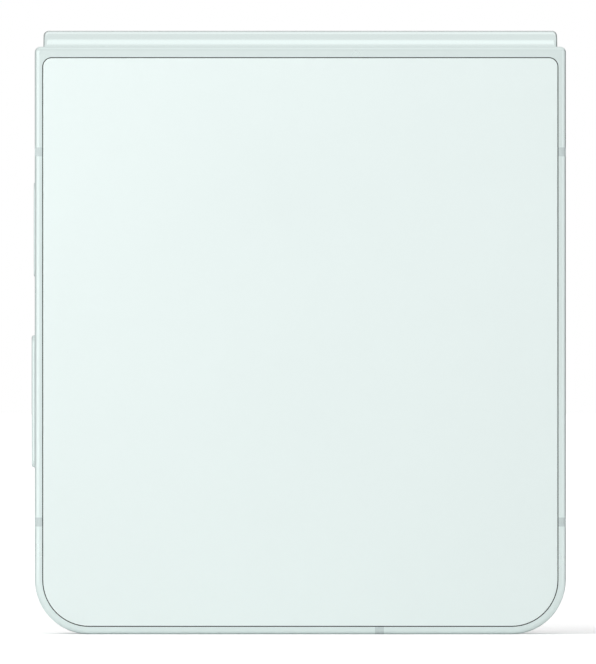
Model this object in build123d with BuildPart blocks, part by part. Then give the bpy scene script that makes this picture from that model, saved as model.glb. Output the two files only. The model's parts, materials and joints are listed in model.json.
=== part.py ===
from build123d import *

# Clamshell folding phone, closed and standing on its foot edge, with the hinge spine at the top.
#
# X runs across the phone, Y from the plain back (-Y) to the cover screen (+Y), Z up to the hinge.
# The origin is the middle of the foot edge, in the closing plane between the two halves.
#
# Two shells fold about two parallel axes that a geared spine carries. Each half is a milled
# aluminium frame with a glass outside, the parts it holds, and one side of the folding screen.
# "main" is the half with the plain back, the large battery and the charging port.
# "cover" is the half with the cover screen, the cameras and the keys.

import os
from math import atan2, cos, degrees, pi, radians, sin, sqrt, tan

os.makedirs("parts", exist_ok=True)

MAIN, COVER = -1, 1  # the side of the closing plane that each half lies on, along Y

# ================================================================ driving dimensions, mm, degrees
# body
body_width = 75.2
half_reach = 83.35  # from the fold's middle line to the foot edge, with the phone open
half_thickness = 6.5
closed_gap = 0.7  # between the two frames when closed; the bezels nearly fill it
foot_corner = 7.7
head_corner = 0.8
bay_head_corner = 2.0
sharp_corner = 0.05
back_edge_round = 0.7
rim_edge_round = 0.3
wall = 2.3  # side and foot walls of the frames
deck_thickness = 0.6
beam_depth = 6.0  # height of the solid beam that carries the hinge arms

# outer glasses
glass_thickness = 0.6
glass_side_inset = 1.16
glass_head_inset = 1.6
glass_head_corner = 1.25
glass_gap = 0.1
glass_edge_round = 0.2

# folding screen and its bezel
screen_thickness = 0.5
screen_inset = 1.3
screen_gap = 0.05
backing_thickness = 0.15
fold_half_length = 11.0  # screen on each side of the middle line that isn't bonded to a half
fold_tilt = 8.0  # how far the free screen leans back when closed
fold_straight = 8.0
fold_parting = 0.02  # between the drop and the bonded stretches
bezel_inset = 0.3
bezel_width = 2.0
bezel_height = 0.3
bezel_round = 0.12
bezel_head_corner = 0.6
bezel_head_drop = 0.55  # the bezel stops this far below the fold axes

# support wings under the free screen
wing_thickness = 0.3
wing_lift = 0.05  # between the screen's back and the wings
wing_gap = 0.2
wing_short = 7.6  # reach where a hinge module stands
wing_long = 10.0  # reach of the tongues elsewhere
wing_pin_length = 0.5
wing_pin_relief = 0.02
wing_side_gap = 0.3

# hinge spine
fold_axis_offset = 1.8  # from the closing plane to each fold axis
centre_slit = 0.15  # half the slit between the two outer walls when open
spine_radius = 3.95
spine_wall = 0.45
spine_clearance = 0.1
spine_end_gap = 1.1  # from the body's side to the inner face of a cheek
spine_end_wall = 0.8
spine_end_round = 0.7
spine_skirt = 0.1  # the spine cover's lower edge stands this far above the fold axes
cheek_clearance = 0.05
fold_clearance = 0.14  # between the brackets and the closed drop of the screen

# hinge gears: a sector on each arm, a geared shaft on each side and two idlers between them
gear_module = 0.2
sector_teeth = 16
shaft_teeth = 8
idler_teeth = 9
tooth_addendum = 0.16
tooth_dedendum = 0.24
tooth_slope = 25.0
tooth_thinning = 0.04  # taken off each flank for backlash
mesh_angle = 70.8  # from outwards to the sector's contact with its shaft gear
sector_inner = 0.75
sector_from, sector_to = -50.0, 90.0
sector_spare = 5.0
shaft_radius = 0.35
shaft_clearance = 0.03
gear_clearance = 0.15

# hinge module, along X from its inner end
module_end_gap = 2.5  # from the module to the spine's end wall
bearing_wall = 0.8
gear_bay = 3.1
clip_bay = 3.6
rail_bay = 2.2
face_width = 0.85  # of each gear
side_play = 0.1
shaft_end_play = 0.05
bracket_drop = 0.5  # the bracket reaches this far below the fold axes
gear_swing_from = 0.3  # outwards from the fold axis to the room that an arm's neck swings in
rail_swing_from = 2.3

# hinge arms
arm_thickness = 0.55
arm_inner = 0.65  # from the fold axis outwards to the arm's near face
arm_foot_height = 4.2
arm_gap = 0.1
arm_drop = 0.15  # the arm's foot stops this far below the spine recess
arm_corner = 0.5
neck_overlap = 0.2
rail_inner = 2.6
rail_outer = 3.15
rail_clearance = 0.05
rail_from, rail_to = -75.0, 55.0
groove_from, groove_to = -25.0, 147.0
swing_clearance = 0.15

# friction clips
clip_thickness = 0.5
clip_count = 6
clip_eye_radius = 0.85
clip_web_height = 1.0
clip_clearance = 0.28

# screws
screw_radius = 0.4
screw_hole_radius = 0.42
screw_head_radius = 0.8
screw_head_height = 0.3
screw_length = 1.8
screw_recess_radius = 0.35
arm_screw_inset = 2.0

# foot edge of the main half
port_width = 8.94  # outer size of a USB-C receptacle shell
port_height = 3.16
port_wall = 0.3
port_depth = 7.35
port_recess = 0.05
port_clearance = 0.08
tongue_width = 6.69
tongue_thickness = 0.7
tongue_length = 4.45
tongue_chamfer = 0.15
port_board_gap = 1.35
tongue_collar = 1.1  # length of the thicker root of the tongue
contact_inset = 0.25  # from the tongue's tip to the contacts
contact_count = 12
contact_pitch = 0.5
contact_width = 0.25
contact_length = 2.95
contact_thickness = 0.03
speaker_hole_radius = 0.55
speaker_hole_pitch = 1.95
speaker_hole_count = 6
speaker_middle = -16.5
speaker_mesh_margin = 0.5
speaker_mesh_thickness = 0.15
foot_microphone_x = 7.6
top_microphone_x = -12.0  # in the cover half's foot wall
microphone_hole_radius = 0.4
microphone_width = 2.4
microphone_height = 1.2
microphone_depth = 0.8

# aerial breaks
band_width = 1.27
band_depth = 1.7
band_from_foot = 15.9
band_from_head = 15.05  # from the fold's middle line
main_foot_band = 11.2
cover_foot_band = 20.0

# keys on the cover half's -X wall
key_height = 2.4
key_gap = 0.1
key_flange = 0.5  # thickness of the flange behind the wall, and how far it reaches past the hole
volume_key_length = 18.8
volume_key_share = 0.3953  # height of the key's middle as a share of a half's reach
volume_key_stand = 0.55
volume_key_slack = 0.3  # between flange and wall
volume_key_round = 0.35
side_key_length = 13.3
side_key_share = 0.688
side_key_stand = 0.25
side_key_slack = 0.05
side_key_round = 0.15
sensor_inset = 0.45
sensor_thickness = 0.2
switch_gap = 0.45  # from a resting side key's flange to its switch
switch_depth = 1.0
switch_strip = 0.3
switch_strip_spare = 3.0
fulcrum_radius = 0.3  # round rib behind the middle of the volume key, on which it rocks
fulcrum_gap = 0.03
fulcrum_post = 1.2  # height of the post that carries the rib

# SIM tray in the cover half's +X wall
tray_share = 0.372  # height of its middle as a share of a half's reach
tray_head_length = 15.0
tray_head_height = 2.3
tray_head_depth = 1.2
tray_width = 12.4
tray_thickness = 0.8
tray_length = 16.5
tray_gap = 0.08
tray_edge_round = 0.12
tray_rim = 1.2  # from the tray's end to the card
tray_pin_radius = 0.45
tray_pin_inset = 0.6  # from the tray's side to the middle of the pin hole
tray_window_corner = 0.6
sim_width = 8.8
sim_length = 12.3
sim_drop = 0.8  # the card lies this far towards the foot
socket_wall = 0.25
socket_spare = 1.0
socket_end_gap = 0.6

# cameras of the cover half
camera_side_inset = 10.6  # from the body's -X side to the first camera's middle
camera_pitch = 14.4
camera_height = 10.4
camera_ring_radius = 6.0
camera_ring_height = 0.9
camera_ring_wall = 1.1
camera_ring_round = 0.25
camera_hole_radius = 5.2
camera_gap = 0.08
camera_body = 10.0
camera_body_lift = 0.6
camera_body_corner = 0.6
barrel_drop = 0.3  # from the lens glass down to the barrel
aperture_radius = 2.15
aperture_depth = 0.6
flash_step = 9.7  # from the second camera to the flash
flash_radius = 1.6
flash_chip = 2.2
shelf_gap = 1.2  # from the camera rings to the cover screen
shelf_side_gap = 1.5
shelf_corner = 1.5
display_gap = 0.2
display_head_gap = 0.3
camera_floor_gap = 0.25
selfie_z = 6.4
selfie_radius = 1.7
selfie_gap = 0.25
selfie_pupil_radius = 0.7
selfie_pupil_depth = 0.35
earpiece_length = 10.0
earpiece_height = 0.35
earpiece_z = 1.15
earpiece_box = (11.8, 5.0)  # width and height of its speaker
earpiece_box_x = 4.2

# boards and batteries
board_depth = 4.0  # of the boards' outer face into a half
board_thickness = 0.7
board_gap = 0.4
board_corner = 1.2
board_head_corner = 1.0
can_corner = 0.8  # of the motor and the small speaker
column_width = 20.4  # of the board beside the cover half's battery
camera_row_head = 22.6  # top of the board's stretch across the cover half
port_row_head = 24.0  # top of the charging board
shield_height = 1.1
shield_corner = 0.6
shield_gap = 3.0  # from the shields to the SIM socket
battery_gap = 1.2
battery_beam_gap = 1.5
battery_corner = 2.5
battery_edge_round = 0.4
cell_gap = 0.1  # between a battery and the deck, filled with adhesive
key_room = 3.8  # between the cover half's bay wall and its battery
main_battery_side_gap = 5.3
coil_margin = 2.5  # from the battery's ends to the charging coil
coil_width = 9.5  # from the outermost to the innermost turn
coil_thickness = 0.3
coil_shield_spare = 1.2
coil_shield_thickness = 0.3
loudspeaker_side_gap = 4.3
loudspeaker_port_gap = 2.13
loudspeaker_head = 19.5
loudspeaker_lid = 0.7
cone_inset = 3.5
motor_side_gap = 5.3
motor_box = (16.0, 5.4, 3.4)
part_gap = 0.4  # between the foot wall and the parts behind it
board_cover_x = -5.6
board_cover_thickness = 0.4
board_cover_gap = 0.2
post_inset = 2.5
post_radius = 1.3

# ================================================================ sizes worked out from them
closed_thickness = 2 * half_thickness + closed_gap
outer_face = closed_thickness / 2
rim_face = closed_gap / 2
glass_seat = outer_face - glass_thickness
screen_back = rim_face + screen_thickness
deck_face = screen_back + backing_thickness
bay_floor = deck_face + deck_thickness
half_middle = rim_face + half_thickness / 2
side_face = body_width / 2
bay_side = side_face - wall
axis_height = half_reach - fold_axis_offset
head_edge = half_reach - centre_slit
cheek_face = side_face - spine_end_gap
spine_end = cheek_face - spine_clearance
recess_radius = spine_radius + spine_clearance
recess_foot = axis_height - recess_radius
beam_foot = recess_foot - beam_depth
screen_side = side_face - screen_inset
screen_foot = screen_inset
wing_root = half_reach - fold_half_length
glass_head = head_edge - glass_head_inset
spine_bore = spine_radius - spine_wall
wing_pivot_y = screen_back + wing_lift + wing_thickness / 2
wing_pivot_z = wing_root + wing_thickness / 2

# heights and places along a half
band_heights = (band_from_foot, half_reach - band_from_head)
volume_key_z = volume_key_share * half_reach
side_key_z = side_key_share * half_reach
tray_z = tray_share * half_reach
first_camera_x = camera_side_inset - side_face
camera_places = ((first_camera_x, camera_height), (first_camera_x + camera_pitch, camera_height))
flash_place = (first_camera_x + camera_pitch + flash_step, camera_height)
board_side = bay_side - board_gap
column_x = board_side - column_width
battery_head = beam_foot - battery_beam_gap
# the closed drop of the folding screen: a straight stretch leaning back, then an arc over the top
fold_middle = rim_face + screen_thickness / 2
fold_lean = radians(fold_tilt)
fold_bend_y = fold_middle + fold_straight * sin(fold_lean)
fold_bend_z = wing_root + fold_straight * cos(fold_lean)
fold_radius = fold_bend_y / cos(fold_lean)
fold_centre_z = fold_bend_z + fold_radius * sin(fold_lean)
channel_radius = fold_radius + screen_thickness / 2 + fold_clearance

# gear centres in the YZ plane, on the cover side
sector_pitch = gear_module * sector_teeth / 2
shaft_pitch = gear_module * shaft_teeth / 2
idler_pitch = gear_module * idler_teeth / 2
shaft_y = fold_axis_offset + (sector_pitch + shaft_pitch) * cos(radians(mesh_angle))
shaft_z = axis_height + (sector_pitch + shaft_pitch) * sin(radians(mesh_angle))
idler_y = idler_pitch
idler_z = shaft_z - sqrt((shaft_pitch + idler_pitch) ** 2 - (shaft_y - idler_y) ** 2)

module_length = gear_bay + clip_bay + 2 * rail_bay + 5 * bearing_wall
module_start = spine_end - spine_end_wall - module_end_gap - module_length
gear_x = module_start + bearing_wall
clip_x = gear_x + gear_bay + bearing_wall
main_rail_x = clip_x + clip_bay + bearing_wall
cover_rail_x = main_rail_x + rail_bay + bearing_wall
module_end = module_start + module_length
rail_x = {MAIN: main_rail_x, COVER: cover_rail_x}
plane_pitch = (gear_bay - side_play - face_width - side_play) / 2
sector_x = {MAIN: gear_x + side_play, COVER: gear_x + side_play + 2 * plane_pitch}
idler_x = gear_x + side_play + plane_pitch

arm_near = fold_axis_offset + arm_inner
arm_far = arm_near + arm_thickness
arm_head = recess_foot - arm_drop
arm_foot = arm_head - arm_foot_height
arm_middle = (arm_foot + arm_head) / 2
swing_top = arm_inner + arm_thickness + swing_clearance  # above the axis, with the half open


# ================================================================ helpers
def level(side, distance):
    """Plane parallel to the closing plane, at that distance into a half; its axes are X and Z."""
    return Plane(origin=(0, side * distance, 0), x_dir=(1, 0, 0), z_dir=(0, -1, 0))


def slab(outline, side, near, far):
    """Outline in X and Z, made solid between two distances from the closing plane."""
    with BuildPart() as made:
        with BuildSketch(level(side, near)):
            add(outline)
        extrude(amount=-side * (far - near))
    return made.part


def prism(outline, first, last):
    """Outline in Y and Z, made solid between two places along X."""
    with BuildPart() as made:
        with BuildSketch(Plane.YZ.offset(first)):
            add(outline)
        extrude(amount=last - first)
    return made.part


def panel(half_width, foot, head, foot_radius, head_radius):
    """Outline of a half or of a sheet in it, with its own radii at the foot and at the hinge."""
    with BuildSketch() as outline:
        with Locations((0, (foot + head) / 2)):
            Rectangle(2 * half_width, head - foot)
        fillet(outline.vertices().group_by(Axis.Y)[0], foot_radius)
        fillet(outline.vertices().group_by(Axis.Y)[-1], head_radius)
    return outline.sketch


def plate(x_range, z_range, corner):
    """Rectangle with round corners in X and Z."""
    with BuildSketch() as outline:
        with Locations((sum(x_range) / 2, sum(z_range) / 2)):
            RectangleRounded(x_range[1] - x_range[0], z_range[1] - z_range[0], corner)
    return outline.sketch


def discs(places, radius):
    """Circles at places given in the sketch's own axes."""
    with BuildSketch() as outline:
        with Locations(*places):
            Circle(radius)
    return outline.sketch


def slot(place, length, height, rotation=0):
    """Stadium at a place in the sketch's own axes."""
    with BuildSketch() as outline:
        with Locations(place):
            SlotOverall(length, height, rotation=rotation)
    return outline.sketch


def box_yz(y_range, z_range):
    """Rectangle in Y and Z."""
    with BuildSketch() as outline:
        with Locations((sum(y_range) / 2, sum(z_range) / 2)):
            Rectangle(y_range[1] - y_range[0], z_range[1] - z_range[0])
    return outline.sketch


def span(side, near, far):
    """A stretch of Y between two distances from the closing plane."""
    return tuple(sorted((side * near, side * far)))


def both_ends(half):
    """The hinge piece at +X and its mirror image at -X."""
    with BuildPart() as pair:
        add(half)
        mirror(about=Plane.YZ)
    return pair


def save(made, name):
    """Writes one finished piece as its own STEP file."""
    made.part.label = name
    export_step(made.part, f"parts/{name}.step")


body_outline = panel(side_face, 0, head_edge, foot_corner, head_corner)
glass_outline = panel(
    side_face - glass_side_inset,
    glass_side_inset,
    glass_head,
    foot_corner - glass_side_inset,
    glass_head_corner,
)
pocket_outline = panel(
    side_face - glass_side_inset + glass_gap,
    glass_side_inset - glass_gap,
    glass_head + glass_gap,
    foot_corner - glass_side_inset + glass_gap,
    glass_head_corner + glass_gap,
)
bay_outline = panel(bay_side, wall, beam_foot, foot_corner - wall, bay_head_corner)
screen_outline = panel(screen_side, screen_foot, wing_root, foot_corner - screen_inset, sharp_corner)
screen_pocket_outline = panel(
    screen_side + screen_gap,
    screen_foot - screen_gap,
    head_edge + 1,
    foot_corner - screen_inset + screen_gap,
    sharp_corner,
)


# ================================================================ frames
def band_slots(side, foot_x):
    """Boxes that cut the aerial breaks: two on each side wall and one in the foot wall."""
    across = half_thickness + 1
    with BuildPart() as slots:
        with Locations(
            *[(x, side * half_middle, z) for x in (-side_face, side_face) for z in band_heights]
        ):
            Box(2 * band_depth, across, band_width)
        with Locations((foot_x, side * half_middle, 0)):
            Box(band_width, across, 2 * band_depth)
    return slots.part


def frame_blank(side):
    """Solid half with its outer edge rounds. Above the fold axis its corners follow a circle about
    the axis, on the closing side, so that the two halves' cheeks pass each other."""
    with BuildPart() as blank:
        add(slab(body_outline, side, rim_face, outer_face))
        across = blank.faces().sort_by(Axis.Y)
        outer, rim = (across[0], across[-1]) if side == MAIN else (across[-1], across[0])
        rounded = rim.edges().sort_by(Axis.Z)[:-1]
        fillet(outer.edges(), back_edge_round)
        fillet(rounded, rim_edge_round)
        with BuildSketch(Plane.YZ) as corner:
            with Locations((side * fold_axis_offset / 2, axis_height + spine_radius / 2)):
                Rectangle(fold_axis_offset, spine_radius)
            with Locations((side * fold_axis_offset, axis_height)):
                Circle(fold_axis_offset - cheek_clearance, mode=Mode.SUBTRACT)
        extrude(amount=body_width, both=True, mode=Mode.SUBTRACT)
    return blank.part


def spine_recess(side):
    """Section of the room in a half that the spine turns in: a quarter round about the fold axis,
    open to the closing plane and to the top."""
    edge = side * (fold_axis_offset + recess_radius)
    axis_y = side * fold_axis_offset
    with BuildSketch() as room:
        with BuildLine():
            Polyline(
                (edge, axis_height),
                (edge, half_reach + 1),
                (-side * rim_face, half_reach + 1),
                (-side * rim_face, recess_foot),
                (axis_y, recess_foot),
            )
            ThreePointArc(
                (axis_y, recess_foot),
                (
                    axis_y + side * recess_radius * sin(pi / 4),
                    axis_height - recess_radius * cos(pi / 4),
                ),
                (edge, axis_height),
            )
        make_face()
    return room.sketch


def arm_reach(side):
    """Stretch of X that a hinge arm covers in the module at +X."""
    return sector_x[side], rail_x[side] + rail_bay - side_play


def arm_screw_places(side):
    """X and Z of the screws that hold both arms of a half."""
    first, last = arm_reach(side)
    xs = (first + arm_screw_inset, last - arm_screw_inset)
    return [(sign * x, arm_middle) for sign in (1, -1) for x in xs]


def frame_body(side):
    """Milled frame before its side openings: glass pocket, parts bay, deck, screen pocket, hinge
    beam with the arms' pockets, room for the support wing and the round spine recess."""
    wing_room = screen_back + wing_gap + wing_thickness + (recess_foot - wing_root) * tan(fold_lean)
    first, last = arm_reach(side)
    arm_pocket = box_yz(
        span(side, rim_face - screen_gap, arm_far), (arm_foot - arm_gap, recess_foot + 3 * arm_gap)
    )
    with BuildPart() as body:
        add(frame_blank(side))
        add(slab(pocket_outline, side, glass_seat, outer_face + 1), mode=Mode.SUBTRACT)
        add(slab(bay_outline, side, bay_floor, outer_face), mode=Mode.SUBTRACT)
        add(slab(screen_pocket_outline, side, 0, deck_face), mode=Mode.SUBTRACT)
        add(prism(spine_recess(side), -cheek_face, cheek_face), mode=Mode.SUBTRACT)
        room = box_yz(span(side, 0, wing_room), (wing_root - wing_gap, recess_foot + wing_gap))
        add(prism(room, -screen_side, screen_side), mode=Mode.SUBTRACT)
        for near, far in ((first, last), (-last, -first)):
            add(prism(arm_pocket, near - arm_gap, far + arm_gap), mode=Mode.SUBTRACT)
        holes = discs(arm_screw_places(side), screw_hole_radius)
        add(slab(holes, side, arm_near, arm_near + screw_length + arm_gap), mode=Mode.SUBTRACT)
        pivot = discs([(side * wing_pivot_y, wing_pivot_z)], wing_thickness / 2 + shaft_clearance)
        pin_reach = screen_side + wing_pin_length + side_play
        add(prism(pivot, -pin_reach, pin_reach), mode=Mode.SUBTRACT)
    return body.part


port_outer = slot((0, 0), port_width, port_height)
port_hole = slot((0, 0), port_width + 2 * port_clearance, port_height + 2 * port_clearance)
speaker_places = [
    (speaker_middle + (i - (speaker_hole_count - 1) / 2) * speaker_hole_pitch, 0)
    for i in range(speaker_hole_count)
]


def foot_plane(side, height):
    """Plane across the foot edge, facing up, centred on a half's thickness."""
    return Plane(origin=(0, side * half_middle, height), x_dir=(1, 0, 0), z_dir=(0, 0, 1))


with BuildPart() as main_frame:
    add(frame_body(MAIN))
    with BuildSketch(foot_plane(MAIN, 0)):
        add(port_hole)
        with Locations(*speaker_places):
            Circle(speaker_hole_radius)
        with Locations((foot_microphone_x, 0)):
            Circle(microphone_hole_radius)
    extrude(amount=wall + 1, mode=Mode.SUBTRACT)
    add(band_slots(MAIN, main_foot_band), mode=Mode.SUBTRACT)
save(main_frame, "main_frame")

with BuildPart() as main_bands:
    add(frame_body(MAIN))
    add(band_slots(MAIN, main_foot_band), mode=Mode.INTERSECT)
save(main_bands, "main_antenna_bands")


# ================================================================ cover half's frame
def wall_plane(x):
    """Plane across a side wall; its axes are Y and Z."""
    return Plane.YZ.offset(x)


def key_slot(length, z, spare):
    """Outline of a key, or of its hole, in Y and Z."""
    return slot((half_middle, z), length + 2 * spare, key_height + 2 * spare, 90)


selfie_place = (0, selfie_z)
earpiece_slot = slot((0, earpiece_z), earpiece_length, earpiece_height)
tray_head = slot((half_middle, tray_z), tray_head_length, tray_head_height, 90)
tray_pocket = slot(
    (half_middle, tray_z),
    tray_head_length + 2 * tray_gap,
    tray_head_height + 2 * tray_gap,
    90,
)
tray_half = tray_thickness / 2
tray_passage = box_yz(
    (half_middle - tray_half - tray_gap, half_middle + tray_half + tray_gap),
    (tray_z - tray_width / 2 - tray_gap, tray_z + tray_width / 2 + tray_gap),
)

with BuildPart() as cover_frame:
    add(frame_body(COVER))
    for length, z in ((volume_key_length, volume_key_z), (side_key_length, side_key_z)):
        hole = key_slot(length, z, key_gap)
        add(prism(hole, -side_face - 1, -bay_side + 1), mode=Mode.SUBTRACT)
    add(prism(tray_pocket, side_face - tray_head_depth, side_face + 1), mode=Mode.SUBTRACT)
    add(prism(tray_passage, bay_side - 1, side_face), mode=Mode.SUBTRACT)
    selfie_hole = discs([selfie_place], selfie_radius + selfie_gap)
    add(slab(selfie_hole, COVER, rim_face, bay_floor + 1), mode=Mode.SUBTRACT)
    add(slab(earpiece_slot, COVER, 0, half_middle), mode=Mode.SUBTRACT)
    with BuildSketch(foot_plane(COVER, 0)):
        with Locations((top_microphone_x, 0)):
            Circle(microphone_hole_radius)
    extrude(amount=wall + 1, mode=Mode.SUBTRACT)
    add(band_slots(COVER, cover_foot_band), mode=Mode.SUBTRACT)
save(cover_frame, "cover_frame")

with BuildPart() as cover_bands:
    add(frame_body(COVER))
    add(band_slots(COVER, cover_foot_band), mode=Mode.INTERSECT)
save(cover_bands, "cover_antenna_bands")

# ================================================================ outer glasses and what shows in them
camera_holes = discs(camera_places, camera_hole_radius)
flash_hole = discs([flash_place], flash_radius)


def outer_glass(side, holes):
    """Glass sheet with a ground edge, flush with the frame."""
    with BuildPart() as glass:
        add(slab(glass_outline, side, glass_seat, outer_face))
        front = glass.faces().sort_by(Axis.Y)[0 if side == MAIN else -1]
        chamfer(front.edges(), glass_edge_round)
        for hole in holes:
            add(slab(hole, side, glass_seat - 1, outer_face + 1), mode=Mode.SUBTRACT)
    return glass


save(outer_glass(MAIN, []), "main_back_glass")
save(outer_glass(COVER, [camera_holes, flash_hole]), "cover_glass")

cover_screen_near = glass_seat - screen_gap - screen_thickness
camera_shelf_z = camera_height + camera_ring_radius + shelf_gap
camera_shelf_x = flash_place[0] + flash_radius + shelf_side_gap
display_outline = panel(
    bay_side - display_gap,
    wall + display_gap,
    beam_foot - display_head_gap,
    foot_corner - wall - display_gap,
    bay_head_corner,
)
with BuildPart() as cover_display:
    with BuildSketch(level(COVER, cover_screen_near)):
        add(display_outline)
        with Locations((camera_shelf_x - bay_side, camera_shelf_z / 2)):
            Rectangle(2 * bay_side, camera_shelf_z, mode=Mode.SUBTRACT)
    extrude(amount=-screen_thickness)
    inside = cover_display.edges().filter_by(Axis.Y).sort_by(Axis.Z)
    fillet(inside.sort_by_distance((camera_shelf_x, glass_seat, camera_shelf_z))[0], shelf_corner)
save(cover_display, "cover_display")

ring_top = outer_face + camera_ring_height
with BuildPart() as camera_rings:
    add(slab(discs(camera_places, camera_ring_radius), COVER, outer_face, ring_top))
    add(slab(discs(camera_places, camera_hole_radius - camera_gap), COVER, glass_seat, outer_face))
    bore = discs(camera_places, camera_hole_radius - camera_ring_wall)
    rim = discs(camera_places, camera_ring_radius - camera_ring_wall)
    lens_seat = ring_top - camera_ring_round - glass_thickness
    add(slab(bore, COVER, glass_seat - 1, ring_top + 1), mode=Mode.SUBTRACT)
    add(slab(rim, COVER, lens_seat, ring_top + 1), mode=Mode.SUBTRACT)
    fillet(camera_rings.faces().sort_by(Axis.Y)[-2:].edges(), camera_ring_round)
save(camera_rings, "camera_rings")

with BuildPart() as lens_glasses:
    panes = discs(camera_places, camera_ring_radius - camera_ring_wall - camera_gap)
    add(slab(panes, COVER, lens_seat, lens_seat + glass_thickness))
save(lens_glasses, "camera_lens_glasses")

with BuildPart() as flash_window:
    add(slab(discs([flash_place], flash_radius - camera_gap), COVER, glass_seat, outer_face))
save(flash_window, "flash_window")

# ================================================================ cover half's inner parts
camera_back = bay_floor + camera_floor_gap
barrel_stop = lens_seat - barrel_drop
board_near = board_depth - board_thickness
camera_bodies = [(x, z + camera_body_lift) for x, z in camera_places]

with BuildPart() as camera_modules:
    with BuildSketch(level(COVER, camera_back)):
        with Locations(*camera_bodies):
            RectangleRounded(camera_body, camera_body, camera_body_corner)
    extrude(amount=camera_back + cell_gap - cover_screen_near)
    lens_hood = discs(camera_places, camera_hole_radius - camera_ring_wall - camera_gap)
    add(slab(lens_hood, COVER, camera_back, barrel_stop))
    aperture = discs(camera_places, aperture_radius)
    add(slab(aperture, COVER, barrel_stop - aperture_depth, barrel_stop), mode=Mode.SUBTRACT)
save(camera_modules, "camera_modules")

with BuildPart() as flash_led:
    with BuildSketch(level(COVER, board_depth)):
        with Locations(flash_place):
            RectangleRounded(flash_chip, flash_chip, flash_chip / 10)
    extrude(amount=board_depth + cell_gap - glass_seat)
save(flash_led, "flash_led")

battery_x = (key_room - bay_side, column_x - battery_beam_gap)
battery_z = (camera_row_head + battery_gap, battery_head)
row_z = (wall + 4 * board_gap, camera_row_head)
socket_half_height = tray_half + tray_gap + socket_wall
socket_z = (tray_z - tray_width / 2 - socket_spare, tray_z + tray_width / 2 + socket_spare)
tray_inner = side_face - tray_head_depth - tray_length
socket_x = tray_inner - socket_end_gap - socket_wall
with BuildPart() as logic_board:
    with BuildSketch(level(COVER, board_near)) as board_outline:
        with BuildLine():
            Polyline(
                (-board_side, row_z[0]),
                (board_side, row_z[0]),
                (board_side, battery_z[1]),
                (column_x, battery_z[1]),
                (column_x, row_z[1]),
                (-board_side, row_z[1]),
                close=True,
            )
        make_face()
        fillet(board_outline.vertices().group_by(Axis.Y)[0], foot_corner - wall - board_gap)
        fillet(board_outline.vertices().group_by(Axis.Y)[-1], board_head_corner)
        with Locations((socket_x - board_gap, sum(socket_z) / 2)):
            Rectangle(
                side_face,
                socket_z[1] - socket_z[0] + 2 * board_gap,
                align=(Align.MIN, Align.CENTER),
                mode=Mode.SUBTRACT,
            )
        with Locations(*camera_bodies):
            window = camera_body + 2 * board_gap
            Rectangle(window, window, mode=Mode.SUBTRACT)
        notch_radius = selfie_radius + 2 * board_gap
        with Locations(selfie_place):
            Circle(notch_radius, mode=Mode.SUBTRACT)
            Rectangle(
                2 * notch_radius, selfie_z, align=(Align.CENTER, Align.MAX), mode=Mode.SUBTRACT
            )
    extrude(amount=-board_thickness)
save(logic_board, "logic_board")

earpiece_head = wall + part_gap + earpiece_box[1]
shield_places = (
    ((column_x + 1, board_side - 1), (socket_z[1] + shield_gap, battery_head - 1)),
    ((camera_shelf_x + 5, board_side - 3), (earpiece_head + 1, socket_z[0] - shield_gap)),
)
with BuildPart() as board_shields:
    for x_range, z_range in shield_places:
        can = plate(x_range, z_range, shield_corner)
        add(slab(can, COVER, board_depth, board_depth + shield_height))
        add(slab(can, COVER, board_near - shield_height, board_near))
save(board_shields, "board_shields")

with BuildPart() as cover_battery:
    cell = plate(battery_x, battery_z, battery_corner)
    add(slab(cell, COVER, bay_floor + cell_gap, cover_screen_near - 2 * cell_gap))
    fillet(cover_battery.faces().sort_by(Axis.Y)[-1].edges(), battery_edge_round)
save(cover_battery, "cover_battery")

with BuildPart() as earpiece_speaker:
    box = plate(
        (earpiece_box_x, earpiece_box_x + earpiece_box[0]),
        (wall + part_gap, earpiece_head),
        can_corner,
    )
    add(slab(box, COVER, bay_floor, board_near - cell_gap))
save(earpiece_speaker, "earpiece_speaker")

with BuildPart() as selfie_camera:
    barrel = discs([selfie_place], selfie_radius)
    add(slab(barrel, COVER, rim_face + screen_gap, board_depth + part_gap))
    pupil = discs([selfie_place], selfie_pupil_radius)
    add(slab(pupil, COVER, 0, rim_face + selfie_pupil_depth), mode=Mode.SUBTRACT)
save(selfie_camera, "selfie_camera")


def microphone(side, x):
    """Small can over a microphone hole, against the foot wall."""
    x_range = (x - microphone_width / 2, x + microphone_width / 2)
    outline = plate(x_range, (wall, wall + microphone_height), microphone_height / 4)
    near = half_middle - microphone_depth / 2
    with BuildPart() as can:
        add(slab(outline, side, near, near + microphone_depth))
    return can


# ================================================================ keys
def key_cap(length, z, stand, slack, edge):
    """Key with a domed outer edge and a flange behind the wall."""
    flange_out = -bay_side + slack
    with BuildPart() as key:
        add(prism(key_slot(length, z, 0), -side_face - stand, flange_out))
        fillet(key.faces().sort_by(Axis.X)[0].edges(), edge)
        add(prism(key_slot(length, z, key_flange), flange_out, flange_out + key_flange))
    return key


side_key_face = -side_face - side_key_stand
sensor_outline = key_slot(side_key_length, side_key_z, -sensor_inset)
with BuildPart() as side_key:
    add(key_cap(side_key_length, side_key_z, side_key_stand, side_key_slack, side_key_round))
    add(prism(sensor_outline, side_key_face - 1, side_key_face + sensor_thickness), mode=Mode.SUBTRACT)
save(side_key, "side_key")

with BuildPart() as fingerprint_sensor:
    add(prism(sensor_outline, side_key_face, side_key_face + sensor_thickness))
save(fingerprint_sensor, "fingerprint_sensor")

# the volume key rocks on a round rib, which sits in a seat on the switch strip
fulcrum_x = -bay_side + volume_key_slack + key_flange
fulcrum_y = (half_middle - key_height / 2, half_middle + key_height / 2)
volume_cap = key_cap(
    volume_key_length, volume_key_z, volume_key_stand, volume_key_slack, volume_key_round
)
with BuildPart() as volume_key:
    add(volume_cap)
    add(slab(discs([(fulcrum_x, volume_key_z)], fulcrum_radius), COVER, *fulcrum_y))
save(volume_key, "volume_key")

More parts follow.
